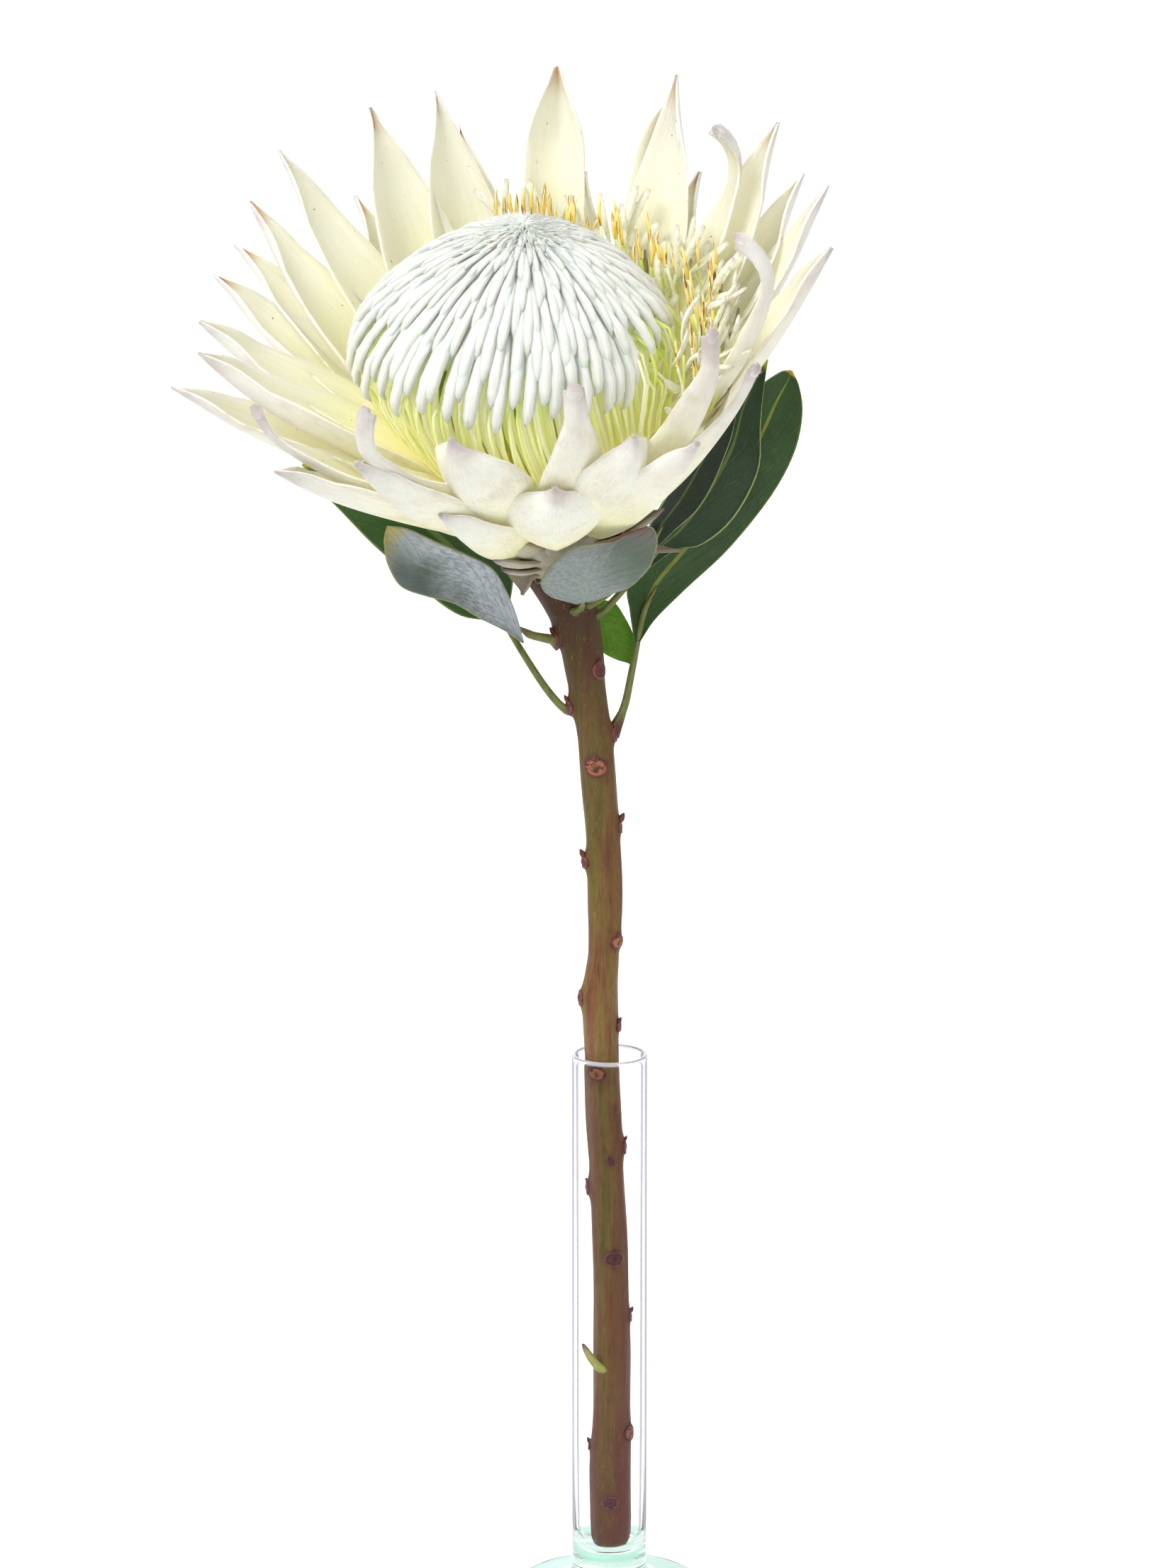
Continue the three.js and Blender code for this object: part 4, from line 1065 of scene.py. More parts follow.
def dome_bed():
    """The crowded inner florets under the clubs, which show in the gaps between them."""
    bed, turns, down = ball_to_shape(66, 40)
    outline = np.concatenate((CAP_PROFILE[:6] - (0, 1.2), [(42, 17), (36, 12), (20, 10), (0, 10)]))
    radius, height = read_rows(down, outline).T
    radius = radius * (1 + 0.012 * np.sin(33 * turns))
    placed = from_cap(np.stack((radius * np.cos(turns), radius * np.sin(turns), height), axis=1))
    marks = dict(along=0.7 - 1.1 * down, across=3 * turns, tone=0.5, brown=0.0)
    return smoothed(reshaped(bed, "cap_bed", placed, **marks))


# Styles: bowed strands from the head's middle up to the clubs' lower ends.
STYLES_FOOT = from_head(np.array((0.0, 0.0, 42.0)))
# The bowl that they fill: share of the way up from their foot to the cap's middle, radius.
STYLES_BOWL = np.array([
    (-0.1, 9), (0, 19), (0.1, 30), (0.2, 38), (0.4, 46), (0.6, 50), (0.8, 52), (1.0, 51),
])
# Where the bracts stand steep, at the back, the bowl is narrower.
BOWL_NARROWING = 0.22
BOWL_NARROWEST = 90
# Layers of styles, from the outside in: how many, fullness, half thickness, how far up they go under the
# cap, and how pale the palest are.
STYLE_LAYERS = [
    (60, 1.0, 0.6, 9, 0.45),
    (84, 0.93, 0.85, 16, 1.0),
    (84, 0.86, 1.05, 18, 1.2),
    (70, 0.78, 1.1, 18, 0.7),
]
# The steps of a style's smooth line that are kept.
STYLE_STOPS = [0, 3, 7, 12, 17, 22, 27, 31, 34, 37, 40]


def bowl_point(turn, share, fullness):
    """A point of the bowl of styles. On the way up, the head's directions pass into the cap's."""
    angle = math.radians(turn)
    ends = ((HEAD_RIGHT, RIGHT), (HEAD_BACK, CAP_BACK), (STYLES_FOOT, CAP_MIDDLE))
    right, back, middle = (low * (1 - share) + high * share for low, high in ends)
    narrow = 0.5 + 0.5 * math.cos(math.radians(turn - BOWL_NARROWEST))
    fullness *= 1 - BOWL_NARROWING * narrow * min(1, max(0, (1.25 - share) / 0.5))
    radius = np.interp(share, *STYLES_BOWL.T) * fullness
    return middle + right * radius * math.cos(angle) + back * radius * math.sin(angle)


def bowl_side(turn):
    """The way onwards round the bowl, at a turn in degrees."""
    angle = math.radians(turn)
    return CAP_BACK * math.cos(angle) - RIGHT * math.sin(angle)


def styles():
    dice = np.random.default_rng(23)
    rod = rod_master(5, 10)
    strands, tones = [], []
    for count, fullness, thick, rise, palest in STYLE_LAYERS:
        for k in range(count):
            turn = 360 * (k + dice.uniform(-0.38, 0.38)) / count
            full = fullness * dice.uniform(0.965, 1.035)
            swing = dice.normal(0, 2.5)
            top = rise + dice.uniform(-3, 2) + (6 if in_open_sector(turn) else 0)
            stations = [bowl_point(turn + swing * (1 - s), s, full) for s in (-0.06, 0.08, 0.24, 0.5, 0.8)]
            radius = 50 * full
            stations.append(from_cap(turned(turn, radius + 0.4, top * 0.3)))
            stations.append(from_cap(turned(turn, radius - 3.5, top)))
            path = smooth_line(stations, LINE_STEPS)[STYLE_STOPS]
            half = np.linspace(0.9, 1.0, len(path)) * thick
            strands.append(laid_along(rod, path, bowl_side(turn), half, half * 0.8))
            tones.append(dice.uniform(0, palest))
    wax = style_wax("style_wax", YELLOW, LIME, 0.15)
    strand_piece("styles_skirt", rod, strands, tones, "styles", wax, ["styles"])
    styles_core()
    opened_florets(rod, dice)


def strand_piece(name, rod, strands, tones, slot, material, nodes=()):
    """A piece of strands, each with its tone."""
    across, _, along = rod[0].T
    finish_piece(stamp(name, rod, strands, along=along, across=across, tone=tones), slot, nodes, material)


def styles_core():
    """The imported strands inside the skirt, as one closed bowl."""
    core, angles, down = ball_to_shape(72, 20)
    turns = np.degrees(angles)
    share = np.clip((1 - down) / 0.72, 0, 1) * 1.08 - 0.08
    fullness = 0.73 * np.clip(down / 0.28, 0, 1) * (1 + 0.02 * np.sin(36 * angles))
    fullness[down > 0.98] = 0
    placed = np.array([bowl_point(t, s, f) for t, s, f in zip(turns, share, fullness)])
    smoothed(reshaped(core, "styles_core", placed, along=share, across=turns / 6, tone=0.0))
    # Its top is a darker, duller olive: painted shade deep inside the skirt of styles.
    finish_piece(core, "styles", [], style_wax("style_depth_shade", (0.92, 0.76, 0.2), (0.5, 0.5, 0.12), 0.02))


# The opened florets: how many styles stand up, how many still bow, and how many dry strips there are.
STANDING_STYLES = 62
BOWING_STYLES = 70
DRY_STRIPS = 120
# How much higher they stand at the back.
BACK_RISE = 6
# Half widths along a pollen presenter and along a strip.
PRESENTER_WIDTHS = np.array((0.4, 0.7, 0.82, 0.84, 0.78, 0.6, 0.2))
STRIP_WIDTHS = np.array((0.5, 0.9, 1.3, 1.5, 1.6, 1.65, 1.6, 1.45, 0.9))
# Dry inner bracts among the opened florets: turn, rise, length, width, radius and height of the root.
DRIED = [
    (6, 72, 34, 12, 62, 62),
    (-6, 70, 30, 9, 64, 64),
    (14, 76, 36, 10, 60, 64),
    (-18, 66, 22, 8, 62, 60),
    (52, 78, 30, 10, 58, 66),
]
DRIED_THICKNESS = 0.5


def open_reach(turn):
    """How far out the opened florets stand: less towards the back, where the bracts are steep."""
    return float(np.interp(turn, (OPEN_FROM, 40, OPEN_TO), (64, 69, 58)))


def standing_styles(rod, tip_rod, dice):
    """Styles that stand up, each with its pollen presenter at its end."""
    strands, presenters = [], []
    for k in range(STANDING_STYLES):
        turn = OPEN_FROM + 2 + (OPEN_TO - OPEN_FROM - 4) * (k + dice.uniform(0, 1)) / STANDING_STYLES
        reach = dice.uniform(54, open_reach(turn))
        top = dice.uniform(92, 103) + float(np.interp(turn, (50, 90), (0, BACK_RISE)))
        lean = dice.normal(0, 4)
        path = from_head(smooth_line([
            turned(turn + lean, 22, 46),
            turned(turn + lean * 0.6, 44, 56),
            turned(turn, reach - 2, 72),
            turned(turn, reach, 84),
            turned(turn + dice.normal(0, 1.5), reach - dice.uniform(0, 3), top),
        ], 10))
        side = bowl_side(turn)
        radius = np.linspace(0.95, 0.85, len(path)) * dice.uniform(0.55, 0.75)
        strands.append(laid_along(rod, path, side, radius, radius))
        way = unit(unit(path[-1] - path[-3]) + UP * 1.2 + dice.normal(0, 0.09, 3))
        long = dice.uniform(9, 13)
        share = np.linspace(0, 1, len(PRESENTER_WIDTHS))
        bend = np.sin(3.1 * share) * dice.normal(0, 0.5)
        line = path[-1] + way * (long * share - 1)[:, None] + side * bend[:, None]
        half = PRESENTER_WIDTHS * dice.uniform(0.8, 1.1)
        presenters.append(laid_along(tip_rod, line, side, half, half * 0.7))
    return strands, presenters


def bowing_styles(rod, dice):
    """Styles that still bow under the cap."""
    strands = []
    for k in range(BOWING_STYLES):
        turn = OPEN_FROM - 6 + (OPEN_TO - OPEN_FROM + 12) * (k + dice.uniform(0, 1)) / BOWING_STYLES
        full = dice.uniform(1.0, 1.13)
        start = dice.uniform(8, 24)
        stations = [bowl_point(turn - 4 * (1 - s), s, full) for s in (0.0, 0.12, 0.3, 0.55, 0.8)]
        stations.append(from_cap(turned(turn + 1, 53 * full, dice.uniform(0, 6))))
        stations.append(from_cap(turned(turn + 2, 51 * full, start * 0.8)))
        stations.append(from_cap(turned(turn + 2, 45, start + 2)))
        radius = np.linspace(0.6, 0.68, 11)
        strands.append(laid_along(rod, smooth_line(stations, 10), bowl_side(turn), radius, radius * 0.85))
    return strands


def dry_strips(rod, dice):
    """Pale woolly strips, bent back."""
    strands = []
    for _ in range(DRY_STRIPS):
        turn = OPEN_FROM + (OPEN_TO - OPEN_FROM) * dice.uniform(0, 1)
        reach = dice.uniform(52, open_reach(turn) - 1)
        rise = dice.uniform(70, 99)
        side = bowl_side(turn)
        root = from_head(turned(turn, reach, rise))
        out = from_head(turned(turn, reach + 10, rise)) - root
        way = unit(unit(out) * dice.uniform(-0.2, 0.9) + UP * dice.uniform(0.25, 1.2)
                   + side * dice.normal(0, 0.45))
        long = dice.uniform(13, 24)
        bend = unit(np.cross(way, side)) * dice.normal(0, 1.2)
        share = np.linspace(0, 1, len(STRIP_WIDTHS))[:, None]
        half = STRIP_WIDTHS * dice.uniform(0.7, 1.15)
        line = root + way * long * share + bend * np.sin(math.pi * share)
        strands.append(laid_along(rod, line, side, half, half * 0.55))
    return strands


def opened_florets(rod, dice):
    """Where the cap has burst: styles that stand or bow, strips, and dry inner bracts."""
    tip_rod = rod_master(5, 6)
    strip_rod = rod_master(6, 8)
    standing, presenters = standing_styles(rod, tip_rod, dice)
    bowing = bowing_styles(rod, dice)
    strips = dry_strips(strip_rod, dice)
    sheet, u, v = sheet_master(6, 10)
    dried = [from_head(scale_points(u, v, shape, 20, 0.3, dice)) for shape in DRIED]
    papery = stamp("dry_bracts", sheet, dried, along=v, across=u, tone=list(dice.uniform(0, 1, len(dried))))
    finish_piece(thickened(papery, DRIED_THICKNESS), "bracts", [], dry_skin())
    wax = style_wax("open_style_wax", (0.82, 0.76, 0.24), (0.7, 0.8, 0.2))
    for name, master, strands, slot, material in (
        ("open_styles", rod, standing + bowing, "styles", wax),
        ("pollen_presenters", tip_rod, presenters, "styles", pollen()),
        ("perianth_strips", strip_rod, strips, "wool", strip_skin()),
    ):
        strand_piece(name, master, strands, [dice.uniform() for _ in strands], slot, material)


# The head's base: small pointed woolly scales, row under row.
# How many, radius and height of the roots, rise, length, width.
SCALE_ROWS = [
    (13, 25, 17, 50, 27, 25),
    (13, 22, 12, 42, 25, 22),
    (12, 17.5, 7, 38, 16, 17),
    (10, 13.5, 3, 30, 13, 11),
    (6, 11, 1, 5, 8, 7),
]
# Single scales that stand off: turn, rise, length, width, radius and height of the root.
LOOSE_SCALES = [
    (232, -72, 10, 11, 18, 8),
    (336, 8, 30, 9, 22, 12),
]
SCALE_THICKNESS = 1.0
# In front, where a leaf lies close, the scales are shorter and steeper.
SCALE_FRONT = 285
SCALE_FRONT_REACH = 50
# The solid cone under them: radius at its foot and at its top, height.
BASE_FOOT = 10.6
BASE_TOP = 22
BASE_HEIGHT = 15


def scale_points(u, v, shape, curl, cup, dice):
    """The points of a small blade on the head: it curls as it rises and cups across."""
    turn, rise, length, width, radius, height = shape
    slopes = rise + curl * (np.linspace(0, 1, 31) - 0.5)
    middle, side, face = bent_blade(v, turn, slopes, length, np.array((radius - 3, height)))
    half = np.maximum(0.35, width * 0.58 * (1 - v**1.3) * (0.8 + 0.25 * np.sin(v * 3)))
    wave = 0.3 * np.sin(9 * v + dice.uniform(0, 6)) * u**2
    return middle + side * (u * half)[:, None] + face * (2 * cup * half * u**2 + wave)[:, None]


def receptacle():
    dice = np.random.default_rng(31)
    sheet, u, v = sheet_master(8, 10)
    copies, tones = [], []
    for row, (count, radius, height, rise, length, width) in enumerate(SCALE_ROWS):
        for k in range(count):
            turn = 360 * (k + 0.5 * (row % 2) + dice.uniform(-0.15, 0.15)) / count
            near = max(0, 1 - abs(between(turn, SCALE_FRONT)) / SCALE_FRONT_REACH)
            steep = rise + dice.normal(0, 5) + 26 * near
            long = length * dice.uniform(0.85, 1.15) * (1 - 0.3 * near)
            copies.append(scale_points(u, v, (turn, steep, long, width, radius, height), 34, 0.22, dice))
            tones.append(0.22 * row + dice.uniform(0, 0.15))
    for shape in LOOSE_SCALES:
        copies.append(scale_points(u, v, shape, 10, 0.3, dice))
        tones.append(0.7)
    scales = stamp("woolly_scales", sheet, [from_head(c) for c in copies], across=u, along=v, tone=tones)
    thickened(scales, SCALE_THICKNESS)
    bpy.ops.object.select_all(action="DESELECT")
    bpy.ops.mesh.primitive_cylinder_add(vertices=48, radius=1, depth=1, location=(0, 0, 0.5))
    core = settled()
    points = points_of(core)
    low = points[:, 2] < 0.5
    points[:, :2] *= np.where(low, BASE_FOOT, BASE_TOP)[:, None]
    points[:, 2] = np.where(low, 0, BASE_HEIGHT)
    reshaped(core, "woolly_core", from_head(points), along=0.3, across=0.0, tone=0.5)
    finish_piece(joined("woolly_base", scales, core), "scales", ["receptacle"], scale_wool())


# Stem: x, y, height and radius from the cut end up to the neck.
STEM_ROUTE = np.array([
    (0.4, -1.8, 17.3, 6.5),
    (0.4, -1.8, 20, 7.0),
    (0.4, -1.8, 28, 7.4),
    (0.2, -2.0, 47, 7.0),
    (0.8, -2.3, 67, 6.6),
    (1.1, -2.6, 92, 6.3),
    (0.3, -2.9, 120, 6.1),
    (-0.5, -3.1, 141, 5.9),
    (-1.5, -3.3, 168, 5.9),
    (-2.7, -3.5, 196, 6.0),
    (-3.3, -3.5, 219, 5.9),
    (-2.1, -3.4, 234, 5.4),
    (-1.7, -3.0, 249, 5.8),
    (-2.1, -2.2, 271, 6.0),
    (-3.5, -1.0, 292, 5.9),
    (-5.0, 0.6, 310, 6.0),
    (-8.3, 3.0, 329, 6.3),
    (-10.8, 4.6, 346, 7.5),
    (-14.0, 5.6, 357, 9.4),
    (-18.9, 6.1, 368.3, 11.0),
])
# How finely it is cut: sides round it, rings, and rings out of each ring.
STEM_SIDES = 64
STEM_RINGS = 70
STEM_FINER = 4
# Nodes on the stem: height, turn round it (0 right, 270 front), width and height of the scar, how far the
# stem swells there, and the length of the resting bud above the scar.
Node = namedtuple("Node", "height turn width tall proud bud")
STEM_NODES = [
    Node(345, 200, 5, 4.5, 2.4, 3),
    Node(334, 318, 6, 6.5, 1.5, 3.4),
    Node(321, 190, 5, 5, 2.0, 3),
    Node(311, 350, 5, 5, 1.9, 2.5),
    Node(301, 265, 8, 7, 1.3, 3.4),
    Node(279, 355, 5, 5, 0.9, 4.5),
    Node(267, 195, 6, 5, 1.8, 4),
    Node(239, 320, 5.5, 5, 1.3, 2.6),
    Node(218, 180, 5, 6, 1.5, 0),
    Node(208, 350, 4, 4, 0.7, 3),
    Node(192.5, 252, 6.6, 5, 0.5, 0),
    Node(165, 355, 5, 6, 1.1, 2.5),
    Node(160.5, 287, 3, 4, 0.1, 0),
    Node(150, 185, 4, 6, 1.5, 2),
    Node(125.5, 283, 6.8, 6, 1.1, 2.6),
    Node(103, 350, 4, 4, 0.6, 3),
    Node(61, 325, 5, 6, 1.3, 2),
    Node(55, 185, 4, 3, 0.6, 3),
    Node(36, 270, 6, 5, 0.8, 0),
]
# The scars with a tan face, by their heights. The others are dark red.
TAN_SCARS = (301, 239, 192.5, 61)
# How far a scar's pad stands out of the bark, and how it steps inwards: inset, lift.
SCAR_LIFT = 0.32
SCAR_STEPS = [(0.1, 0.3), (0.12, 0.0), (0.12, -0.35), (0.3, 0.05), (0.2, 0.1)]
# The scales of a bud: size, shift to the side, lean away from the stem.
BUD_SCALES = [(1.0, 0.0, 0.5), (0.72, -0.28, 0.35), (0.72, 0.28, 0.35)]
# The fresh side shoot: height and turn of its root, its points away from there (out, round, up), and its
# half widths.
SHOOT_HEIGHT = 85
SHOOT_TURN = 238
SHOOT_LINE = [(-1.5, 0, -1), (0.8, -0.8, 0.6), (1.4, -3, 3), (1.3, -5.2, 5.6), (1.2, -7, 8.2)]
SHOOT_WIDTHS = np.array((1.9, 2.1, 1.9, 1.6, 1.5, 1.3, 1.0, 0.4))


def stem_at(height):
    """The stem's x, y and radius at a height."""
    return [np.interp(height, STEM_ROUTE[:, 2], STEM_ROUTE[:, k]) for k in (0, 1, 3)]


def from_node(node, heights, angles, radius, tall, wide):
    """How far points of the bark lie from a node: 1 on an oval so tall and wide, in sizes of its scar."""
    beside = between(angles, math.radians(node.turn), 2 * math.pi)
    return np.hypot((heights - node.height) / (node.tall * tall), beside * radius / (node.width * wide))


def swell(heights, angles, radius):
    """How far the stem stands out at its nodes and in its shallow ridges. Angles in radians."""
    lump = (0.16 * np.sin(3 * angles + heights / 17) + 0.13 * np.sin(5 * angles - heights / 11 + 1)
            + 0.12 * np.sin(heights / 6.5) + 0.08 * np.sin(11 * angles + 2 * np.sin(heights / 23)))
    for node in STEM_NODES:
        far = from_node(node, heights, angles, radius, 0.75, 0.62)
        lump = lump + node.proud * np.exp(-(far**2) * 1.2)
    return lump


def on_stem(heights, angles, out):
    """Points over the stem's bark. Angles in radians."""
    x, y, radius = stem_at(heights)
    reach = radius + swell(heights, angles, radius) + out
    return np.stack((x + np.cos(angles) * reach, y + np.sin(angles) * reach, heights), axis=-1)


def stem():
    rod = rod_master(STEM_SIDES, STEM_RINGS, STEM_FINER)
    share = rod[0][:, 2]
    route = smooth_line(STEM_ROUTE[:, :3], STEM_RINGS * STEM_FINER)
    radii = stem_at(route[:, 2])[2]
    placed = laid_along(rod, route, RIGHT, radii, radii)
    radius = read_at(share, radii)
    out = unit_rows(placed - read_rows(share, route))
    heights = placed[:, 2]
    angles = np.arctan2(out[:, 1], out[:, 0])
    scar = np.zeros(len(heights))
    for node in STEM_NODES:
        far = from_node(node, heights, angles, radius, 0.7, 0.7)
        scar = np.maximum(scar, 0.75 * np.exp(-(far**2) * 1.5))
    placed = placed + out * swell(heights, angles, radius)[:, None]
    finish_piece(stamp("stem_bark", rod, [placed], along=share, scar=scar), "stem", ["stem"], bark())
    finish_piece(stem_scars(), "stem", [], scar_skin())
    finish_piece(stem_buds(), "stem", [], bud_skin())
    finish_piece(side_shoot(), "stem", [], shoot_skin())


def scar_master():
    """A leaf scar: a low round pad with a raised rim and a sunk face."""
    bpy.ops.object.select_all(action="DESELECT")
    bpy.ops.mesh.primitive_cylinder_add(vertices=16, radius=1, depth=1, location=(0, 0, -0.5))
    pad = settled()
    pick(pad, "FACE", lambda face: face.normal.z > 0.9)
    for inset, lift in SCAR_STEPS:
        bpy.ops.mesh.inset(thickness=inset, depth=0)
        bpy.ops.transform.translate(value=(0, 0, lift))
    bpy.ops.object.mode_set(mode="OBJECT")
    return taken(pad)


def stem_scars():
    pad = scar_master()
    x, y, z = pad[0].T
    copies = []
    for node in STEM_NODES:
        heights = node.height + y * node.tall * 0.5
        angles = math.radians(node.turn) + x * node.width * 0.5 / stem_at(node.height)[2]
        copies.append(on_stem(heights, angles, z * 0.6 + SCAR_LIFT))
    tan = [1.0 if node.height in TAN_SCARS else 0.0 for node in STEM_NODES]
    return stamp("leaf_scars", pad, copies, across=np.hypot(x, y), tone=tan)


def stem_buds():
    """Small resting buds, from a ball drawn out to a point, three scales to each."""
    points, faces = ball_master(12, 9)
    points[:, :2] *= (1 - 0.5 * np.clip(points[:, 2], 0, 1) ** 1.4)[:, None]
    copies = []
    for node in STEM_NODES:
        if not node.bud:
            continue
        side = around(node.turn)
        root = on_stem(node.height + node.tall * 0.35, math.radians(node.turn), -0.2)
        for size, shift, lean in BUD_SCALES:
            way = unit(UP + turned(node.turn, 1, 0) * lean + side * shift * 0.5)
            base = root + side * shift * node.bud * 0.5 + way * node.bud * 0.28 * size
            sizes = np.array((side * 0.3, np.cross(way, side) * 0.26, way * 0.5)) * node.bud * size
            copies.append(base + points @ sizes)
    return stamp("resting_buds", (points, faces), copies)


def side_shoot():
    rod = rod_master(8, 12)
    side = around(SHOOT_TURN)
    root = on_stem(SHOOT_HEIGHT, math.radians(SHOOT_TURN), 0)
    line = smooth_line(root + np.array(SHOOT_LINE) @ np.array((turned(SHOOT_TURN, 1, 0), side, UP)), 12)
    placed = laid_along(rod, line, side, SHOOT_WIDTHS, SHOOT_WIDTHS * 0.8)
    return stamp("side_shoot", rod, [placed], along=rod[0][:, 2])


# Leaves: how deep the blade folds, the stalk's points, the blade's left and right edge from the base to
# the tip. Some have more: where the stalk ends behind the blade, how thick it is, how many of its first
# points only aim it.
Leaf = namedtuple("Leaf", "slot fold stalk edges behind thick skip", defaults=(None, 1, 0))
LEAVES = {
    "leaf_front": Leaf("leaf_silvery", 0.04, [(-12.3, -4.1, 355.5), (-10, -12, 358)], [
        (-11.5, -22, 362, -6, -20, 362.5), (-20.5, -29, 366.5, 2, -26, 367),
        (-23.5, -33, 371, 7.5, -30, 370.5),
        (-22, -36, 376, 11.5, -34, 375), (-18.5, -39, 380.5, 14.5, -38, 381),
        (-14, -41, 385, 16, -42, 387.5),
        (-6, -43, 387, 15, -44, 392.5), (1.5, -44, 388.5, 12.5, -45, 394),
    ], behind=(1, -8, 4.5)),
    "leaf_silver": Leaf("leaf_silvery", 0.12, [
        (-20.5, 0.8, 344.5), (-24, -0.5, 345.5), (-27.5, -0.5, 346.5),
    ], [
        (-30, -2, 344, -29.5, -1, 343.5), (-36, -6, 349, -32, -3, 353.5),
        (-44, -12, 354.5, -36, -7, 365),
        (-53, -17, 361, -41, -12, 373), (-62.5, -21, 364.5, -49.5, -17, 378.5),
        (-71, -24, 368.5, -59, -21, 383.5),
        (-75.5, -26, 377, -68.5, -24, 388.5), (-76.5, -27, 384.5, -75.5, -26, 390),
    ], behind=(-4, 2.5, 2), thick=1.35),
    "leaf_left": Leaf("leaf_green", 0.12, [(-16, 2, 320), (-22, 6, 326), (-29.5, 11, 336.5)], [
        (-38, 14, 345.5, -36.5, 14, 345), (-42.5, 16, 347.5, -34.5, 15, 354),
        (-51.5, 19, 348.5, -33.5, 15, 365),
        (-61, 21, 354.5, -38, 16, 376), (-71, 23, 363, -47.5, 18, 387), (-82, 24, 373, -61, 19, 395.5),
        (-92.5, 24, 384, -75.5, 20, 401.5), (-101, 23, 393.5, -90, 21, 403.5),
        (-106, 22, 401, -105, 22, 402),
    ]),
    "leaf_tall": Leaf("leaf_green", 0.12, [(3.9, 0.9, 311.5), (5, 4, 320), (7.5, 7.5, 331)], [
        (8.5, 8, 342, 10.5, 8, 342), (7, 9, 352.5, 16, 11, 349.5), (6.5, 9, 362.5, 26, 14, 359),
        (15.5, 10, 376.5, 40.5, 17, 372), (28, 11, 395, 55.5, 19, 391), (40, 12, 414.5, 63.5, 19, 406),
        (49, 13, 428, 66, 18, 419.5), (57.5, 15, 434.5, 65, 17, 429), (61.5, 16, 435.5, 62.5, 16, 435),
    ], skip=1),
    "leaf_wavy": Leaf("leaf_green", 0.12, [(-3.4, 3, 353), (1, 4, 357)], [
        (6, 4, 362.5, 7, 4, 363.5), (8.5, 3, 369.5, 15, 6, 369.5), (13.5, 3, 377, 23, 8, 374.5),
        (20.5, 3, 389, 31.5, 10, 375.5), (27.5, 3, 404, 42.5, 11, 385), (35, 4, 418.5, 51, 12, 401),
        (42, 5, 431, 51.5, 12, 417), (48.5, 7, 438, 52.5, 11, 428.5), (53, 9, 441, 54, 9, 440.5),
    ]),
    "leaf_inner": Leaf("leaf_green", 0.12, [(-5.9, -1.2, 357.5), (2.5, -2, 364)], [
        (8, -1, 369, 9, -1, 369.5), (10.5, -3, 377, 15.5, 1, 376), (14.5, -4, 387, 21.5, 2, 382),
        (20.5, -5, 398.5, 29.5, 2, 389), (27, -5, 409.5, 36, 3, 400.5), (33, -4, 419, 40.5, 3, 411.5),
        (38.5, -2, 425, 42.5, 1, 420.5), (42.5, 0, 427, 43.5, 0, 426.5),
    ]),
    "leaf_small": Leaf("leaf_bright", 0.12, [(-14, 17, 359.5)], [
        (-11, 16, 357, -10, 16, 358.5), (-8.5, 16, 346.5, -2.5, 16, 355), (-6, 16, 340, 2, 16.5, 353.5),
        (-2.5, 16, 336.5, 5.5, 16, 348), (2, 15.5, 334, 8.5, 15, 342), (6, 14.5, 333, 9, 14.5, 337),
        (7, 14, 332.5, 8, 14, 333),
    ]),
}
BLADE_THICKNESS = 0.6
# How deep a stalk's root is sunk into the bark, which side of it looks right, and its radii.
STALK_SUNK = 1.6
STALK_SIDE = np.array((0.9, -0.4, 0.1))
STALK_RADII = np.concatenate(
    (np.linspace(2.8, 1.5, 7), np.linspace(1.45, 1.1, 17), np.linspace(1.05, 0.3, 7))
)


def leaf_blade(name, shape):
    sheet, u, v = sheet_master(14, 36)
    edges = smooth_line(shape.edges, 72)
    left = read_rows(v, edges[:, :3])
    across = read_rows(v, edges[:, 3:]) - left
    ahead = read_rows(v, np.gradient((edges[:, :3] + edges[:, 3:]) / 2, axis=0))
    face = unit_rows(np.cross(across, ahead))
    phase = np.random.default_rng(len(name) * 7).uniform(0, 6.28)
    ripple = 0.35 * np.sin(22 * v + phase) * u**2 * np.sin(math.pi * v) * np.sign(u + 0.01)
    quilt = 0.12 * np.sin(69 * v - 16 * np.abs(u)) * np.sin(math.pi * np.abs(u))
    lift = shape.fold * np.linalg.norm(across, axis=1) * (np.abs(u) ** 1.4 - 1) + ripple + quilt
    placed = left + across * ((u + 1) / 2)[:, None] + face * lift[:, None]
    return stamp(name + "_blade", sheet, [placed], along=v, across=u, tone=0.3)


def leaf_stalk(name, shape):
    rod = rod_master(12, 30)
    lower = np.array(shape.edges[1:3])
    into = list((lower[:, :3] + lower[:, 3:]) / 2)
    if shape.behind:
        into = [np.array(shape.stalk[-1]) + shape.behind]
    first = shape.stalk[0]
    x, y, _ = stem_at(first[2])
    root = on_stem(first[2] - 1, math.atan2(first[1] - y, first[0] - x), -STALK_SUNK)
    line = smooth_line([root] + shape.stalk[shape.skip:] + into, 30)
    radii = STALK_RADII * shape.thick
    across, _, along = rod[0].T
    placed = laid_along(rod, line, STALK_SIDE, radii, radii * 0.9)
    return stamp(name + "_stalk", rod, [placed], along=along, across=across, tone=0.5)


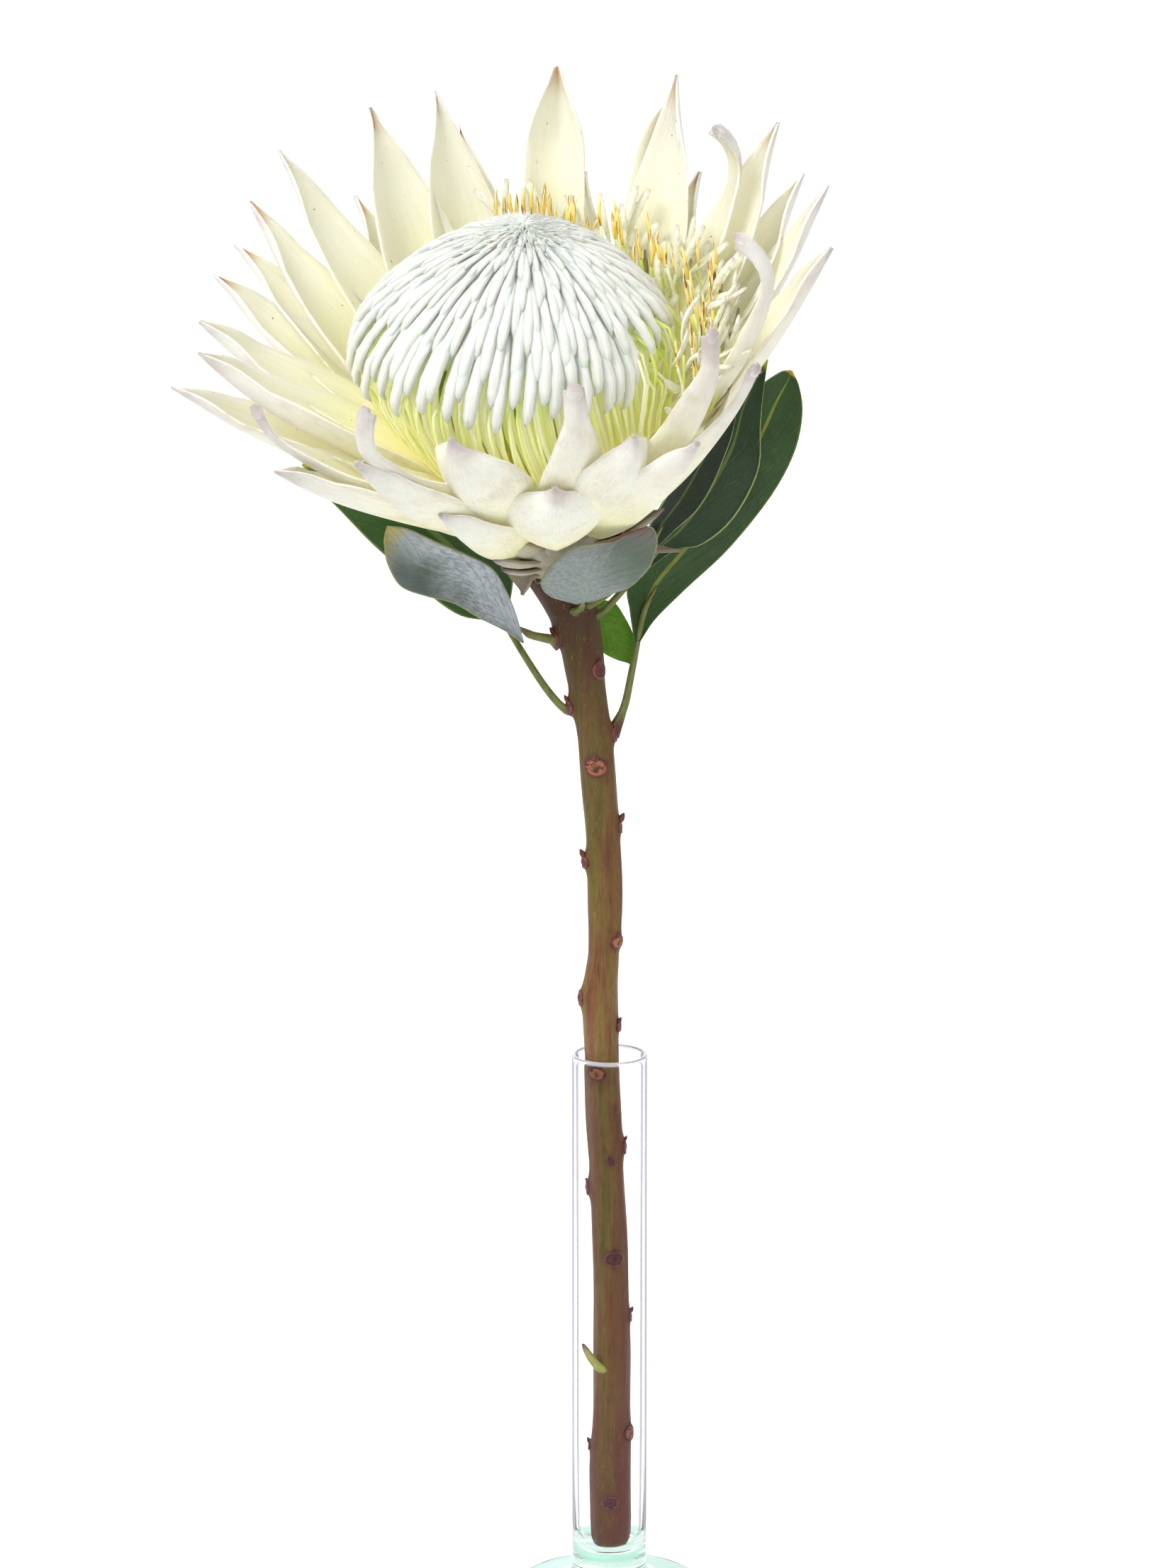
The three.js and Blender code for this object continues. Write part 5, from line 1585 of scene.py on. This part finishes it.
def leaves():
    stalk_material = stalk_skin()
    skins = {
        "leaf_front": silver_skin(
            "silvery_front", face=(0.1, 0.14, 0.1), silver=(0.27, 0.31, 0.3), vein=(0.3, 0.34, 0.26),
            rusty=(0.16, 0.07, 0.045), margin=(0.26, 0.28, 0.16), purple=(0.2, 0.15, 0.15), lean=0.42,
        ),
        "leaf_silver": silver_skin(
            "silvery_blue", face=(0.04, 0.065, 0.045), silver=(0.5, 0.55, 0.6), vein=(0.4, 0.44, 0.44),
            rusty=(0.42, 0.36, 0.08), margin=(0.26, 0.28, 0.12), purple=(0.3, 0.34, 0.37), lean=-0.4,
        ),
        "leaf_left": leaf_skin("dark_green", (0.03, 0.085, 0.012), (0.16, 0.24, 0.05), (0.16, 0.24, 0.05)),
        "leaf_tall": leaf_skin("tall_green", (0.032, 0.085, 0.016), (0.26, 0.3, 0.04), (0.12, 0.18, 0.04),
                               rib=0.75, tip=(0.7, 0.42, 0.04)),
        "leaf_wavy": leaf_skin("wavy_green", (0.014, 0.044, 0.008), (0.22, 0.28, 0.06), (0.38, 0.45, 0.16),
                               rib=0.4),
        "leaf_inner": leaf_skin("inner_green", (0.008, 0.022, 0.005), (0.14, 0.18, 0.05),
                                (0.38, 0.44, 0.18), gloss=0.35),
        "leaf_small": leaf_skin("bright_green", (0.13, 0.33, 0.008), (0.17, 0.32, 0.02), (0.2, 0.32, 0.02),
                                gloss=0.4, rib=0.3, tip=(0.6, 0.58, 0.03)),
    }
    for name, shape in LEAVES.items():
        blade = leaf_blade(name, shape)
        blade.data.materials.append(skins[name])
        thickened(blade, BLADE_THICKNESS)
        stalk = leaf_stalk(name, shape)
        stalk.data.materials.append(stalk_material)
        finish_piece(joined(name + "_blade", blade, stalk), shape.slot, [name])


# Studio: a white room, brighter behind the flower than before it.
FRONT_GLOW = 0.62
BACK_GLOW = 1.0
FLOOR_GLOW = 0.78
LIGHTS_AIM = Vector((-0.03, -0.01, 0.44))
# Round lights: name, place, width in metres, watts.
LIGHTS = [
    ("key", (-1.2, -1.1, 1.9), 1.0, 31),
    ("back_light", (0.5, 1.6, 1.5), 1.2, 14),
    ("fill", (0.5, -2.1, 0.15), 1.3, 15),
]
# The camera: its place in millimetres, how far it looks down, its lens.
CAMERA_PLACE = (-7.5, -2843.9, 1002.5)
CAMERA_DOWN = math.radians(14)
CAMERA_LENS = 195.3


def studio():
    bpy.ops.object.select_all(action="DESELECT")
    bpy.ops.mesh.primitive_plane_add(size=30, location=(0, 8, 0))
    floor = bpy.context.object
    floor.name = "floor"
    paint = Paint("pale_floor", 0.9, Base_Color=(0.42, 0.42, 0.42, 1), Emission_Color=(1, 1, 1, 1))
    beside = paint.reckon("ABSOLUTE", paint.measured("X"))
    lit = paint.times(paint.slope(paint.measured("Y"), -8.5, -8.05), paint.slope(beside, 1.3, 0.6))
    paint.join(paint.times(lit, FLOOR_GLOW), "Emission Strength")
    floor.data.materials.append(paint.material)

    world = bpy.data.worlds.new("studio")
    bpy.context.scene.world = world
    world.use_nodes = True
    nodes, links = world.node_tree.nodes, world.node_tree.links
    split = nodes.new("ShaderNodeSeparateXYZ")
    links.new(nodes.new("ShaderNodeTexCoord").outputs["Generated"], split.inputs["Vector"])
    glow = nodes.new("ShaderNodeMapRange")
    sockets = {"From Min": -0.6, "From Max": 0.3, "To Min": FRONT_GLOW, "To Max": BACK_GLOW}
    for socket, value in sockets.items():
        glow.inputs[socket].default_value = value
    links.new(split.outputs["Y"], glow.inputs["Value"])
    links.new(glow.outputs["Result"], nodes["Background"].inputs["Strength"])
    nodes["Background"].inputs["Color"].default_value = (1, 1, 1, 1)

    for name, place, size, watts in LIGHTS:
        light = bpy.data.lights.new(name, "AREA")
        light.energy = watts
        light.shape = "DISK"
        light.size = size
        lamp = bpy.data.objects.new(name, light)
        bpy.context.scene.collection.objects.link(lamp)
        lamp.location = place
        lamp.rotation_euler = (LIGHTS_AIM - Vector(place)).to_track_quat("-Z", "Y").to_euler()
    bpy.context.scene.view_settings.view_transform = "Standard"


def camera():
    data = bpy.data.cameras.new("camera")
    data.lens = CAMERA_LENS
    data.sensor_width = 36
    data.clip_end = 100
    eye = bpy.data.objects.new("camera", data)
    bpy.context.scene.collection.objects.link(eye)
    eye.location = Vector(CAMERA_PLACE) * MM
    eye.rotation_euler = (math.pi / 2 - CAMERA_DOWN, 0, 0)
    bpy.context.scene.camera = eye


camera()
vase()
stem()
receptacle()
bracts()
styles()
white_cap()
leaves()
studio()
